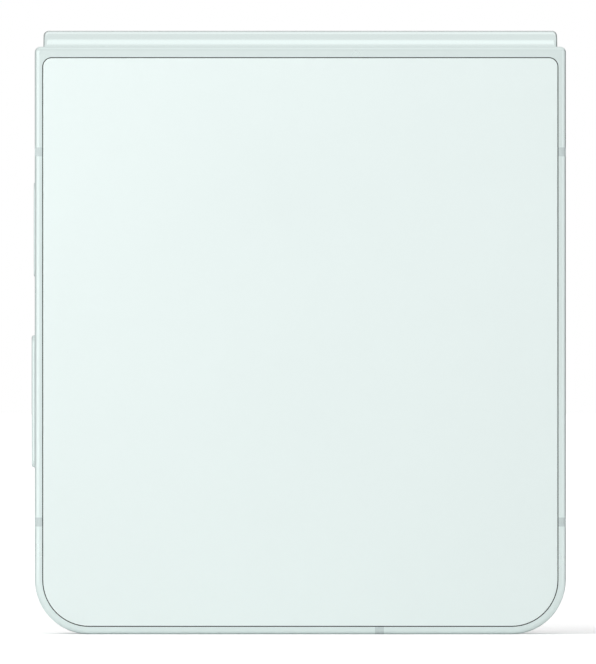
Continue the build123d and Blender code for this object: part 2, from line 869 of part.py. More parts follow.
# three dome switches on a thin strip behind the keys
switch_x = -bay_side + side_key_slack + key_flange + switch_gap
switch_zs = (volume_key_z - volume_key_length / 3, volume_key_z + volume_key_length / 3, side_key_z)
with BuildPart() as key_switches:
    strip_z = (switch_zs[0] - switch_strip_spare, switch_zs[-1] + switch_strip_spare)
    strip = box_yz(fulcrum_y, strip_z)
    add(prism(strip, switch_x + switch_depth, switch_x + switch_depth + switch_strip))
    with BuildSketch(wall_plane(switch_x + switch_depth)):
        with Locations(*[(half_middle, z) for z in switch_zs]):
            Rectangle(key_height * 0.8, key_height)
    extrude(amount=-switch_depth * 0.6)
    with BuildSketch(wall_plane(switch_x + switch_depth * 0.4)):
        with Locations(*[(half_middle, z) for z in switch_zs]):
            Circle(key_height / 4)
    extrude(amount=-switch_depth * 0.4)
    post_z = (volume_key_z - fulcrum_post / 2, volume_key_z + fulcrum_post / 2)
    post = box_yz(fulcrum_y, post_z)
    add(prism(post, fulcrum_x + fulcrum_radius / 2, switch_x + switch_depth))
    seat = discs([(fulcrum_x, volume_key_z)], fulcrum_radius + fulcrum_gap)
    add(slab(seat, COVER, fulcrum_y[0] - 1, fulcrum_y[1] + 1), mode=Mode.SUBTRACT)
save(key_switches, "key_switches")

# ================================================================ SIM tray and its socket
with BuildPart() as sim_tray:
    add(prism(tray_head, side_face - tray_head_depth + tray_gap, side_face))
    fillet(sim_tray.faces().sort_by(Axis.X)[-1].edges(), tray_edge_round)
    bar = box_yz(
        (half_middle - tray_half, half_middle + tray_half),
        (tray_z - tray_width / 2, tray_z + tray_width / 2),
    )
    add(prism(bar, tray_inner, side_face - tray_head_depth + tray_gap))
    window = plate(
        (tray_inner + tray_rim, tray_inner + tray_rim + sim_length),
        (tray_z - sim_width / 2 - sim_drop, tray_z + sim_width / 2 - sim_drop),
        tray_window_corner,
    )
    add(slab(window, COVER, 0, outer_face), mode=Mode.SUBTRACT)
    pin_z = tray_z + tray_width / 2 - tray_pin_inset
    pin_hole = discs([(half_middle, pin_z)], tray_pin_radius)
    add(prism(pin_hole, side_face - tray_head_depth, side_face + 1), mode=Mode.SUBTRACT)
save(sim_tray, "sim_tray")

with BuildPart() as sim_socket:
    shell = box_yz(
        (half_middle - socket_half_height, half_middle + socket_half_height), socket_z
    )
    add(prism(shell, socket_x, bay_side - screen_gap))
    add(prism(tray_passage, socket_x + socket_wall, bay_side + 1), mode=Mode.SUBTRACT)
save(sim_socket, "sim_socket")

# ================================================================ main half's inner parts
with BuildPart() as usb_port_shell:
    with BuildSketch(foot_plane(MAIN, port_recess)):
        add(port_outer)
    extrude(amount=port_depth)
    with BuildSketch(foot_plane(MAIN, port_recess)):
        SlotOverall(port_width - 2 * port_wall, port_height - 2 * port_wall)
    extrude(amount=port_depth - port_wall, mode=Mode.SUBTRACT)
save(usb_port_shell, "usb_port_shell")

tongue_tip = port_recess + port_depth - port_wall - tongue_length
with BuildPart() as usb_port_tongue:
    with BuildSketch(foot_plane(MAIN, tongue_tip)):
        Rectangle(tongue_width, tongue_thickness)
    extrude(amount=tongue_length)
    tip = usb_port_tongue.faces().sort_by(Axis.Z)[0]
    chamfer(tip.edges().filter_by(Axis.X), tongue_chamfer)
    with BuildSketch(foot_plane(MAIN, tongue_tip + tongue_length - tongue_collar)):
        SlotOverall(tongue_width + 4 * port_wall, tongue_thickness + 3 * port_wall)
    extrude(amount=tongue_collar)
save(usb_port_tongue, "usb_port_tongue")

contact_lift = (tongue_thickness + contact_thickness) / 2
contact_foot = tongue_tip + contact_inset
with BuildPart() as usb_contacts:
    with Locations(*[(0, lift - half_middle, contact_foot) for lift in (-contact_lift, contact_lift)]):
        with GridLocations(contact_pitch, 0, contact_count, 1):
            Box(
                contact_width,
                contact_thickness,
                contact_length,
                align=(Align.CENTER, Align.CENTER, Align.MIN),
            )
save(usb_contacts, "usb_contacts")

port_row_foot = port_recess + port_depth + port_board_gap
loudspeaker_x = (loudspeaker_side_gap - bay_side, -port_width / 2 - loudspeaker_port_gap)
loudspeaker_z = (wall + speaker_mesh_thickness * 2, loudspeaker_head)
with BuildPart() as charging_board:
    with BuildSketch(level(MAIN, board_near)):
        add(plate((-board_side, board_side), (port_row_foot, port_row_head), board_corner))
        with Locations((sum(loudspeaker_x) / 2, loudspeaker_head + 2 * board_gap)):
            Rectangle(
                loudspeaker_x[1] - loudspeaker_x[0] + 4 * board_gap,
                loudspeaker_head,
                align=(Align.CENTER, Align.MAX),
                mode=Mode.SUBTRACT,
            )
    extrude(amount=board_thickness)
save(charging_board, "charging_board")

with BuildPart() as loudspeaker:
    box = plate(loudspeaker_x, loudspeaker_z, battery_corner)
    add(slab(box, MAIN, bay_floor + cell_gap, glass_seat - loudspeaker_lid))
    fillet(loudspeaker.faces().sort_by(Axis.Y)[0].edges(), battery_edge_round)
    cone = plate(
        (loudspeaker_x[0] + cone_inset, loudspeaker_x[1] - cone_inset),
        (loudspeaker_z[0] + cone_inset, loudspeaker_z[1] - cone_inset),
        battery_corner,
    )
    lid_face = glass_seat - loudspeaker_lid
    add(slab(cone, MAIN, lid_face - battery_edge_round, lid_face + speaker_mesh_thickness))
save(loudspeaker, "loudspeaker")

with BuildPart() as speaker_mesh:
    hole_span = (speaker_hole_count - 1) * speaker_hole_pitch
    mesh_height = 2 * (speaker_hole_radius + speaker_mesh_margin)
    with BuildSketch(foot_plane(MAIN, wall)):
        with Locations((speaker_middle, 0)):
            SlotOverall(hole_span + mesh_height, mesh_height)
    extrude(amount=speaker_mesh_thickness)
save(speaker_mesh, "speaker_mesh")

save(microphone(MAIN, foot_microphone_x), "foot_microphone")
save(microphone(COVER, top_microphone_x), "top_microphone")

with BuildPart() as vibration_motor:
    motor_head = bay_side - motor_side_gap
    motor = plate(
        (motor_head - motor_box[0], motor_head),
        (wall + part_gap, wall + part_gap + motor_box[1]),
        can_corner,
    )
    add(slab(motor, MAIN, bay_floor, bay_floor + motor_box[2]))
save(vibration_motor, "vibration_motor")

coil_face = glass_seat - 2 * cell_gap
shield_face = coil_face - coil_thickness
main_battery_side = bay_side - main_battery_side_gap
main_battery_z = (port_row_head + 1, battery_head)
with BuildPart() as main_battery:
    cell = plate((-main_battery_side, main_battery_side), main_battery_z, battery_corner)
    cell_face = shield_face - coil_shield_thickness - 2 * cell_gap
    add(slab(cell, MAIN, bay_floor + cell_gap, cell_face))
    fillet(main_battery.faces().sort_by(Axis.Y)[0].edges(), battery_edge_round)
save(main_battery, "main_battery")

coil_place = (0, sum(main_battery_z) / 2)
coil_outer = (main_battery_z[1] - main_battery_z[0]) / 2 - coil_margin
with BuildPart() as coil_shield:
    ferrite = discs([coil_place], coil_outer + coil_shield_spare)
    add(slab(ferrite, MAIN, shield_face - coil_shield_thickness, shield_face))
save(coil_shield, "coil_shield")

# the flat winding, drawn as one ring
with BuildPart() as charging_coil:
    with BuildSketch(level(MAIN, shield_face)):
        with Locations(coil_place):
            Circle(coil_outer)
            Circle(coil_outer - coil_width, mode=Mode.SUBTRACT)
    extrude(amount=coil_thickness)
save(charging_coil, "charging_coil")

board_cover_face = glass_seat - board_cover_gap
board_cover_back = board_cover_face - board_cover_thickness
post_foot, post_head = port_row_foot + post_inset, port_row_head - post_inset
post_side = board_side - post_inset
with BuildPart() as board_cover:
    lid = plate((board_cover_x, board_side), (port_row_foot, port_row_head), board_corner)
    add(slab(lid, MAIN, board_cover_back, board_cover_face))
    posts = [(board_cover_x + post_inset, post_head), (post_side, post_head), (post_side, post_foot)]
    add(slab(discs(posts, post_radius), MAIN, board_depth, board_cover_back))
    holes = discs(posts, screw_hole_radius)
    add(slab(holes, MAIN, board_depth, board_cover_back), mode=Mode.SUBTRACT)
save(board_cover, "main_board_cover")


# ================================================================ inner screen and bezels
def screen_panel(side):
    """Flat stretch of the folding screen, bonded to a half."""
    with BuildPart() as sheet:
        add(slab(screen_outline, side, rim_face, screen_back))
        if side == COVER:
            hole = discs([selfie_place], selfie_radius + screen_gap)
            add(slab(hole, side, 0, outer_face), mode=Mode.SUBTRACT)
    return sheet


def screen_backing(side):
    """Thin metal sheet between the flat stretch of screen and the deck."""
    outline = panel(
        screen_side, screen_foot, wing_root - wing_gap, foot_corner - screen_inset, sharp_corner
    )
    with BuildPart() as sheet:
        add(slab(outline, side, screen_back, deck_face))
        if side == COVER:
            hole = discs([selfie_place], selfie_radius + screen_gap)
            add(slab(hole, side, 0, outer_face), mode=Mode.SUBTRACT)
    return sheet


def bezel(side):
    """Soft raised rim that covers the screen's edge on three sides and ends below the hinge."""
    head = axis_height - bezel_head_drop
    with BuildPart() as rim:
        outside = panel(
            side_face - bezel_inset,
            bezel_inset,
            head,
            foot_corner - bezel_inset,
            bezel_head_corner,
        )
        add(slab(outside, side, rim_face - bezel_height, rim_face))
        inner = bezel_inset + bezel_width
        inside = panel(side_face - inner, inner, head + 2, foot_corner - inner, sharp_corner)
        add(slab(inside, side, 0, rim_face + 1), mode=Mode.SUBTRACT)
        top = rim.faces().sort_by(Axis.Y)[-1 if side == MAIN else 0]
        fillet(top.edges(), bezel_round)
        if side == COVER:
            add(slab(earpiece_slot, side, -1, rim_face + 1), mode=Mode.SUBTRACT)
    return rim


for side, name in ((MAIN, "main"), (COVER, "cover")):
    save(screen_panel(side), f"inner_screen_{name}")
    save(screen_backing(side), f"{name}_screen_backing")
    save(bezel(side), f"{name}_bezel")


def fold_line(offset, foot):
    """Half of the drop's outline at a distance from the sheet's middle: foot, bend and top."""
    bend = (fold_bend_y + offset * cos(fold_lean), fold_bend_z - offset * sin(fold_lean))
    start = (bend[0] - (bend[1] - foot) * tan(fold_lean), foot)
    return start, bend, (0, fold_centre_z + fold_radius + offset)


fold_foot = wing_root + fold_parting
with BuildPart() as inner_screen_fold:
    with BuildSketch(Plane.YZ) as drop:
        for offset, mode in ((screen_thickness / 2, Mode.ADD), (-screen_thickness / 2, Mode.SUBTRACT)):
            start, bend, crown = fold_line(offset, fold_foot)
            with BuildLine() as outline:
                Line((-start[0], start[1]), (-bend[0], bend[1]))
                ThreePointArc((-bend[0], bend[1]), crown, bend)
                Line(bend, start)
                Line(start, (-start[0], start[1]))
            make_face(mode=mode)
    extrude(amount=screen_side, both=True)
save(inner_screen_fold, "inner_screen_fold")


# ================================================================ support wings
def wing(side):
    """Stiff plate on a round pivot edge with pins at its ends. Its head edge is short where the
    hinge modules stand and has tongues elsewhere. It leans back while the phone is closed."""
    near = screen_back + wing_lift
    half_width = spine_end - spine_end_wall - wing_side_gap
    short_head, long_head = wing_pivot_z + wing_short, wing_pivot_z + wing_long
    with BuildPart() as upright:
        with BuildSketch(level(side, near)):
            with Locations((0, (wing_pivot_z + long_head) / 2)):
                Rectangle(2 * half_width, long_head - wing_pivot_z)
            notch_width = module_end - module_start + 2 * wing_gap
            middle = (module_start + module_end) / 2
            with Locations((middle, short_head), (-middle, short_head)):
                Rectangle(
                    notch_width, wing_long, align=(Align.CENTER, Align.MIN), mode=Mode.SUBTRACT
                )
        extrude(amount=-side * wing_thickness)
        edge = discs([(side * wing_pivot_y, wing_pivot_z)], wing_thickness / 2)
        add(prism(edge, -half_width, half_width))
        pin_reach = screen_side + wing_pin_length
        pin = discs([(side * wing_pivot_y, wing_pivot_z)], wing_thickness / 2 - wing_pin_relief)
        add(prism(pin, -pin_reach, pin_reach))
    pivot = Axis((0, side * wing_pivot_y, wing_pivot_z), (-side, 0, 0))
    with BuildPart() as leaning:
        add(upright.part.rotate(pivot, fold_tilt))
    return leaning


save(wing(MAIN), "main_wing_plate")
save(wing(COVER), "cover_wing_plate")


# ================================================================ hinge gears
def tooth_outline(centre, pitch, angle):
    """One straight-sided tooth on a gear of that pitch radius, pointing along an angle."""
    root = pitch - 1.2 * tooth_dedendum
    half = pi * gear_module / 4 - tooth_thinning
    slope = tan(radians(tooth_slope))
    corners = []
    tip = pitch + tooth_addendum
    for radius, sign in ((root, -1), (tip, -1), (tip, 1), (root, 1)):
        across = sign * (half - (radius - pitch) * slope)
        corners.append(
            (
                centre[0] + radius * cos(angle) - across * sin(angle),
                centre[1] + radius * sin(angle) + across * cos(angle),
            )
        )
    return corners


def gear_outline(centre, pitch, teeth, phase, first=0, last=360):
    """Gear, or the sector of one between two angles, in Y and Z."""
    with BuildSketch() as outline:
        with Locations(centre):
            Circle(pitch - tooth_dedendum)
        for i in range(teeth):
            angle = phase + i * 2 * pi / teeth
            if (degrees(angle) - first) % 360 <= last - first + 1e-6:
                with BuildLine():
                    Polyline(*tooth_outline(centre, pitch, angle), close=True)
                make_face()
    return outline.sketch


def meshed_phase(from_place, from_teeth, from_phase, to_place, to_teeth):
    """Angle of one tooth of a gear, so that its teeth fit the gaps of the gear it meets."""
    towards = atan2(to_place[1] - from_place[1], to_place[0] - from_place[0])
    share = 0.5 - (from_phase - towards) * from_teeth / (2 * pi)
    return towards + pi + share * 2 * pi / to_teeth


sector_place = {side: (side * fold_axis_offset, axis_height) for side in (MAIN, COVER)}
shaft_place = {side: (side * shaft_y, shaft_z) for side in (MAIN, COVER)}
idler_place = {side: (side * idler_y, idler_z) for side in (MAIN, COVER)}
train = (
    ("sector", COVER, sector_place[COVER], sector_teeth),
    ("shaft", COVER, shaft_place[COVER], shaft_teeth),
    ("idler", COVER, idler_place[COVER], idler_teeth),
    ("idler", MAIN, idler_place[MAIN], idler_teeth),
    ("shaft", MAIN, shaft_place[MAIN], shaft_teeth),
    ("sector", MAIN, sector_place[MAIN], sector_teeth),
)
phases = {("sector", COVER): radians(mesh_angle)}
for (kind, side, place, teeth), (kind_2, side_2, place_2, teeth_2) in zip(train, train[1:]):
    phases[kind_2, side_2] = meshed_phase(place, teeth, phases[kind, side], place_2, teeth_2)


def shaft(side):
    """Shaft with its gear, reaching through the friction clips."""
    gear = gear_outline(shaft_place[side], shaft_pitch, shaft_teeth, phases["shaft", side])
    first = min(sector_x[side], idler_x)
    last = max(sector_x[side], idler_x) + face_width
    with BuildPart() as right:
        add(prism(gear, first, last))
        core = discs([shaft_place[side]], shaft_radius)
        add(prism(core, module_start + shaft_end_play, main_rail_x - shaft_end_play))
    return both_ends(right.part)


def idler(side):
    """Idler gear on its pin."""
    gear = gear_outline(idler_place[side], idler_pitch, idler_teeth, phases["idler", side])
    with BuildPart() as right:
        add(prism(gear, idler_x, idler_x + face_width))
        core = discs([idler_place[side]], shaft_radius)
        add(prism(core, module_start + shaft_end_play, clip_x - shaft_end_play))
    return both_ends(right.part)


save(shaft(MAIN), "main_gear_shafts")
save(shaft(COVER), "cover_gear_shafts")
save(idler(MAIN), "main_idler_gears")
save(idler(COVER), "cover_idler_gears")


# ================================================================ hinge arms
def wedge(place, side, first, last, reach):
    """Triangle fan from a centre between two angles, measured from outwards towards the top."""
    middle = (first + last) / 2
    points = [place]
    for angle in (first, middle, last):
        turned = radians(angle)
        points.append((place[0] + side * reach * cos(turned), place[1] + reach * sin(turned)))
    with BuildSketch() as fan:
        with BuildLine():
            Polyline(*points, close=True)
        make_face()
    return fan.sketch


def ring_part(side, inner, outer, first, last):
    """Stretch of a ring about a fold axis, between two angles from outwards towards the top."""
    place = sector_place[side]
    with BuildSketch() as ring:
        with Locations(place):
            Circle(outer)
            Circle(inner, mode=Mode.SUBTRACT)
        add(wedge(place, side, first, last, 3 * outer), mode=Mode.INTERSECT)
    return ring.sketch


def sector_section(side):
    """Gear sector about the fold axis, with the neck that carries it."""
    first, last = (sector_from, sector_to) if side == COVER else (180 - sector_to, 180 - sector_from)
    neck = box_yz(span(side, arm_near, arm_far), (arm_head - neck_overlap, axis_height - sector_inner))
    with BuildSketch() as section:
        add(
            gear_outline(
                sector_place[side], sector_pitch, sector_teeth, phases["sector", side], first, last
            )
        )
        fan = wedge(sector_place[side], side, sector_from, sector_to + sector_spare, 3 * sector_pitch)
        add(fan, mode=Mode.INTERSECT)
        with Locations(sector_place[side]):
            Circle(sector_inner, mode=Mode.SUBTRACT)
        add(neck)
    return section.sketch


def rail_section(side):
    """Arc rail about the fold axis, with the neck that carries it."""
    meeting = axis_height - sqrt(rail_inner**2 - arm_inner**2)
    neck = box_yz(span(side, arm_near, arm_far), (arm_head - neck_overlap, meeting))
    with BuildSketch() as section:
        add(ring_part(side, rail_inner, rail_outer, rail_from, rail_to))
        add(neck)
        with Locations(sector_place[side]):
            Circle(rail_inner, mode=Mode.SUBTRACT)
    return section.sketch


def arm(side):
    """Hinge arm at +X: a foot plate with two screw holes, a gear sector and an arc rail."""
    first, last = arm_reach(side)
    foot_plate = plate((first, last), (arm_foot, arm_head), arm_corner)
    with BuildPart() as right:
        add(slab(foot_plate, side, arm_near, arm_far))
        add(prism(sector_section(side), sector_x[side], sector_x[side] + face_width))
        add(prism(rail_section(side), rail_x[side] + side_play, rail_x[side] + rail_bay - side_play))
        holes = discs([place for place in arm_screw_places(side) if place[0] > 0], screw_hole_radius)
        add(slab(holes, side, arm_near - 1, arm_far + 1), mode=Mode.SUBTRACT)
    return right


for side, name in ((MAIN, "main"), (COVER, "cover")):
    right_arm = arm(side)
    save(right_arm, f"{name}_hinge_arm_right")
    with BuildPart() as left_arm:
        add(mirror(right_arm.part, about=Plane.YZ, mode=Mode.PRIVATE))
    save(left_arm, f"{name}_hinge_arm_left")


def arm_screws(side):
    """Flat-headed screws through the arms' feet into the hinge beam."""
    with BuildPart() as screws:
        places = arm_screw_places(side)
        add(slab(discs(places, screw_head_radius), side, arm_near - screw_head_height, arm_near))
        add(slab(discs(places, screw_radius), side, arm_near, arm_near + screw_length))
        recess = discs(places, screw_recess_radius)
        add(slab(recess, side, 0, arm_near - screw_head_height / 2), mode=Mode.SUBTRACT)
    return screws


save(arm_screws(MAIN), "main_hinge_screws")
save(arm_screws(COVER), "cover_hinge_screws")


# ================================================================ spine
def spine_section(radius, foot):
    """Flat-topped section of the spine with a quarter round about each fold axis."""
    with BuildSketch() as section:
        with Locations(*sector_place.values()):
            Circle(radius)
        with Locations((0, axis_height)):
            Rectangle(2 * fold_axis_offset, 2 * radius)
        with Locations((0, foot)):
            Rectangle(
                6 * radius, 2 * radius, align=(Align.CENTER, Align.MAX), mode=Mode.SUBTRACT
            )
    return section.sketch


def screen_channel():
    """Section of the way through the hinge that the closed screen's drop takes."""
    with BuildSketch() as channel:
        with Locations((0, fold_centre_z)):
            Circle(channel_radius)
            Rectangle(2 * channel_radius, 2 * spine_radius, align=(Align.CENTER, Align.MAX))
    return channel.sketch


spine_foot = axis_height + spine_skirt
notch_top = axis_height + swing_top + spine_clearance
with BuildPart() as spine_cover:
    add(prism(spine_section(spine_radius, spine_foot), -spine_end, spine_end))
    for sign in (1, -1):
        end = spine_cover.faces().filter_by(Axis.X).sort_by(Axis.X)[-1 if sign > 0 else 0]
        fillet(end.edges().sort_by(Axis.Z)[-3:], spine_end_round)
    inner_end = spine_end - spine_end_wall
    add(prism(spine_section(spine_bore, spine_foot - 1), -inner_end, inner_end), mode=Mode.SUBTRACT)
    add(prism(screen_channel(), -spine_end - 1, spine_end + 1), mode=Mode.SUBTRACT)
    for side in (MAIN, COVER):
        notch = box_yz(span(side, spine_bore, 2 * spine_radius), (spine_foot - 1, notch_top))
        for first, last in ((gear_x, clip_x - bearing_wall), (rail_x[side], rail_x[side] + rail_bay)):
            add(prism(notch, first, last), mode=Mode.SUBTRACT)
            add(prism(notch, -last, -first), mode=Mode.SUBTRACT)
save(spine_cover, "spine_cover")

bracket_foot = axis_height - bracket_drop
shaft_bores = discs([shaft_place[MAIN], shaft_place[COVER]], shaft_radius + shaft_clearance)
idler_bores = discs([idler_place[MAIN], idler_place[COVER]], shaft_radius + shaft_clearance)


def gear_room():
    """Section of the gear bay: round every gear's path and the arms' swing."""
    with BuildSketch() as room:
        with Locations(*sector_place.values()):
            Circle(sector_pitch + tooth_addendum + gear_clearance)
        with Locations(*shaft_place.values()):
            Circle(shaft_pitch + tooth_addendum + gear_clearance)
        with Locations(*idler_place.values()):
            Circle(idler_pitch + tooth_addendum + gear_clearance)
        with Locations((0, idler_z)):
            Rectangle(2 * idler_y, 2 * idler_y, align=(Align.CENTER, Align.MAX))
        for side in (MAIN, COVER):
            swing_y = span(side, fold_axis_offset + gear_swing_from, 3 * spine_radius)
            add(box_yz(swing_y, (bracket_foot - 1, axis_height + swing_top)))
    return room.sketch


def clip_room():
    """Section of the bay for the friction clips."""
    with BuildSketch() as room:
        with Locations(*shaft_place.values()):
            Circle(clip_eye_radius + clip_clearance)
        with Locations((0, shaft_z)):
            Rectangle(2 * shaft_y, clip_web_height + clip_clearance)
    return room.sketch


def rail_groove(side):
    """Section of the groove that a rail turns in, with room for its neck to swing through."""
    swing_y = span(side, fold_axis_offset + rail_swing_from, 3 * spine_radius)
    inner, outer = rail_inner - rail_clearance, rail_outer + rail_clearance
    with BuildSketch() as groove:
        add(ring_part(side, inner, outer, groove_from, groove_to))
        add(box_yz(swing_y, (bracket_foot - 1, axis_height + swing_top)))
    return groove.sketch


with BuildPart() as bracket_right:
    add(prism(spine_section(spine_bore, bracket_foot), module_start, module_end))
    add(prism(screen_channel(), module_start - 1, module_end + 1), mode=Mode.SUBTRACT)
    add(prism(gear_room(), gear_x, gear_x + gear_bay), mode=Mode.SUBTRACT)
    add(prism(clip_room(), clip_x, clip_x + clip_bay), mode=Mode.SUBTRACT)
    add(prism(shaft_bores, module_start, main_rail_x), mode=Mode.SUBTRACT)
    add(prism(idler_bores, module_start, clip_x), mode=Mode.SUBTRACT)
    for side in (MAIN, COVER):
        add(prism(rail_groove(side), rail_x[side], rail_x[side] + rail_bay), mode=Mode.SUBTRACT)
save(bracket_right, "hinge_bracket_right")

with BuildPart() as bracket_left:
    add(mirror(bracket_right.part, about=Plane.YZ, mode=Mode.PRIVATE))
save(bracket_left, "hinge_bracket_left")

with BuildSketch() as clip_outline:
    with Locations(*shaft_place.values()):
        Circle(clip_eye_radius)
    with Locations((0, shaft_z)):
        Rectangle(2 * shaft_y, clip_web_height)
    with Locations(*shaft_place.values()):
        Circle(shaft_radius + shaft_clearance, mode=Mode.SUBTRACT)
clip_pitch = (clip_bay - clip_thickness - 2 * side_play) / (clip_count - 1)
with BuildPart() as clips_right:
    for i in range(clip_count):
        first = clip_x + side_play + i * clip_pitch
        add(prism(clip_outline.sketch, first, first + clip_thickness))
save(both_ends(clips_right.part), "friction_clips")
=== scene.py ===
import json
import math

import bmesh
import bpy
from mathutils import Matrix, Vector


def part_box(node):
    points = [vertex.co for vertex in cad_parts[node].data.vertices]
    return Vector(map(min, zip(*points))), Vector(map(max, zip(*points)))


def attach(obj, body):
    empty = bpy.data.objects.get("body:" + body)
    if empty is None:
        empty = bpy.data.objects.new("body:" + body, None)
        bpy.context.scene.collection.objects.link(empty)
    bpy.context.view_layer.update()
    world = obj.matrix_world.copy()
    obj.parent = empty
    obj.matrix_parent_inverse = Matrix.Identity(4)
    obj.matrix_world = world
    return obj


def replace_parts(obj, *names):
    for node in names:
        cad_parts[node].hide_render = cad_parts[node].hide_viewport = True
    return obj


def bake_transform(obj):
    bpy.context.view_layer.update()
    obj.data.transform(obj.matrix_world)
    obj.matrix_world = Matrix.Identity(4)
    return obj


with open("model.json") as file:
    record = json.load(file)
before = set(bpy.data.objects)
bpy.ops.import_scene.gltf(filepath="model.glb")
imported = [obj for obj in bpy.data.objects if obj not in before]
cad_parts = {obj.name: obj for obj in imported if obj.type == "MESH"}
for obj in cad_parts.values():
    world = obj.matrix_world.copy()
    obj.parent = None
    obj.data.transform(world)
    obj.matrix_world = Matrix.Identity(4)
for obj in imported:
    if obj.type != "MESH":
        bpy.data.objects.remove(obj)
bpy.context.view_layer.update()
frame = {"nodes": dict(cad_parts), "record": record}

# ------------------------------------------------------------------ frames, keys and SIM tray
# Each half is milled from one aluminium slab, bead-blasted and anodised in a pale mint.
# The two keys and the SIM tray are cut from the same bar and dyed in the same bath.

mm = 0.001


def dye(hex_code):
    """Linear colour of an sRGB hex value."""
    channels = [int(hex_code[i : i + 2], 16) / 255 for i in (1, 3, 5)]
    return [c / 12.92 if c <= 0.04045 else ((c + 0.055) / 1.055) ** 2.4 for c in channels] + [1]


def add_node(tree, kind, inputs=(), feeds=None, **settings):
    """One node with its settings. Inputs go by name or in order, each a value or a socket that
    feeds it, and feeds is the socket that the node's first output leads to."""
    node = tree.nodes.new(kind)
    for name, value in settings.items():
        setattr(node, name, value)
    sockets = [s for s in node.inputs if s.enabled]
    by_name = {s.name: s for s in reversed(sockets)}
    pairs = inputs.items() if isinstance(inputs, dict) else zip(sockets, inputs)
    for key, value in pairs:
        socket = by_name[key] if isinstance(key, str) else key
        if isinstance(value, bpy.types.NodeSocket):
            tree.links.new(value, socket)
        else:
            socket.default_value = value
    if feeds:
        tree.links.new(next(s for s in node.outputs if s.enabled), feeds)
    return node


def new_finish(name, colour, metallic, roughness, **sockets):
    """A material with one shader: the material, its tree, its sockets and its own coordinates."""
    material = bpy.data.materials.new(name)
    material.use_nodes = True
    tree = material.node_tree
    shader = tree.nodes["Principled BSDF"].inputs
    shader["Base Color"].default_value = dye(colour)
    shader["Metallic"].default_value = metallic
    shader["Roughness"].default_value = roughness
    for socket, value in sockets.items():
        shader[socket.replace("_", " ")].default_value = value
    place = add_node(tree, "ShaderNodeTexCoord").outputs["Object"]
    return material, tree, shader, place


def per_mm(size):
    """Noise or wave scale for a grain of that many millimetres."""
    return 1 / (size * mm)


def finish_mesh(shell, name, crease=50):
    """Turns a bmesh into a mesh with smooth rounds and sharp corners."""
    for face in shell.faces:
        face.smooth = True
    for edge in shell.edges:
        edge.smooth = edge.calc_face_angle(math.pi) < math.radians(crease)
    mesh = bpy.data.meshes.new(name)
    shell.to_mesh(mesh)
    shell.free()
    return mesh


def take_out(piece):
    """The piece as its modifiers leave it, as a plain mesh."""
    bpy.context.view_layer.update()
    evaluated = piece.evaluated_get(bpy.context.evaluated_depsgraph_get())
    mesh = bpy.data.meshes.new_from_object(evaluated)
    piece.modifiers.clear()
    piece.data = mesh
    return piece


def lay_in(name, mesh, material, body, slot, *nodes):
    """Puts a finished mesh in the phone: its finish, body and the CAD nodes it replaces. The slot
    is not used.
    """
    piece = bpy.data.objects.new(name, mesh)
    bpy.context.collection.objects.link(piece)
    mesh.materials.clear()
    mesh.materials.append(material)
    if body:
        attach(piece, body)
    if nodes:
        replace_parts(piece, *nodes)
    return piece


bodies = frame["record"]["behaviour"]["bodies"]
body_of_node = {node: body for body, nodes in bodies.items() for node in nodes}
slot_of_node = {part["node"]: part["material_slot"] for part in frame["record"]["subparts"]}


def dress(node, material, crease=50):
    """Machined or moulded skin of a CAD node: facets joined, rounds smooth and flats flat."""
    shell = bmesh.new()
    shell.from_mesh(frame["nodes"][node].data)
    bmesh.ops.remove_doubles(shell, verts=shell.verts, dist=1e-4 * mm)
    mesh = finish_mesh(shell, node + "_skin", crease)
    piece = lay_in(node + "_skin", mesh, material, None, slot_of_node[node])
    weighting = piece.modifiers.new("flats", "WEIGHTED_NORMAL")
    weighting.keep_sharp = True
    take_out(piece)
    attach(piece, body_of_node[node])
    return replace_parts(piece, node)


def coat(material, *nodes):
    """The same finish on CAD nodes that stay as they are."""
    for node in nodes:
        frame["nodes"][node].data.materials.clear()
        frame["nodes"][node].data.materials.append(material)


# Bead-blasted, anodised aluminium: a satin metal whose fine pits blur every reflection. The
# pits are really 0.05 mm wide and drawn at 0.25 mm, the least that shows.
anodised, tree, shader, place = new_finish("bead_blasted_aluminium", "#DCE8E6", 1.0, 0.3)
pits = add_node(tree, "ShaderNodeTexNoise", {"Vector": place, "Scale": per_mm(0.25), "Detail": 2})
add_node(
    tree,
    "ShaderNodeBump",
    {"Height": pits.outputs["Fac"], "Distance": 0.002 * mm, "Strength": 0.3},
    shader["Normal"],
)
clouds = add_node(tree, "ShaderNodeTexNoise", {"Vector": place, "Scale": per_mm(9)})
add_node(
    tree,
    "ShaderNodeMapRange",
    {
        "Value": clouds.outputs["Fac"],
        "From Min": 0.3,
        "From Max": 0.7,
        "To Min": 0.27,
        "To Max": 0.33,
    },
    shader["Roughness"],
)

for node in ("main_frame", "cover_frame", "side_key", "volume_key", "sim_tray"):
    dress(node, anodised)

# The side key's inlay reads a fingertip: hard lacquer over the sensor, dyed to match.
sensor_lacquer, tree, shader, place = new_finish(
    "sensor_lacquer", "#CFDCDA", 0.0, 0.2, Coat_Weight=0.6
)
flecks = add_node(tree, "ShaderNodeTexNoise", {"Vector": place, "Scale": per_mm(0.3), "Detail": 2})
add_node(
    tree,
    "ShaderNodeBump",
    {"Height": flecks.outputs["Fac"], "Distance": 0.003 * mm, "Strength": 0.2},
    shader["Normal"],
)
dress("fingerprint_sensor", sensor_lacquer)

# ------------------------------------------------------------------ aerial breaks
# Glass-filled nylon, moulded into slots milled through the frame and cut flush with it,
# so that each half's metal is parted into aerials.

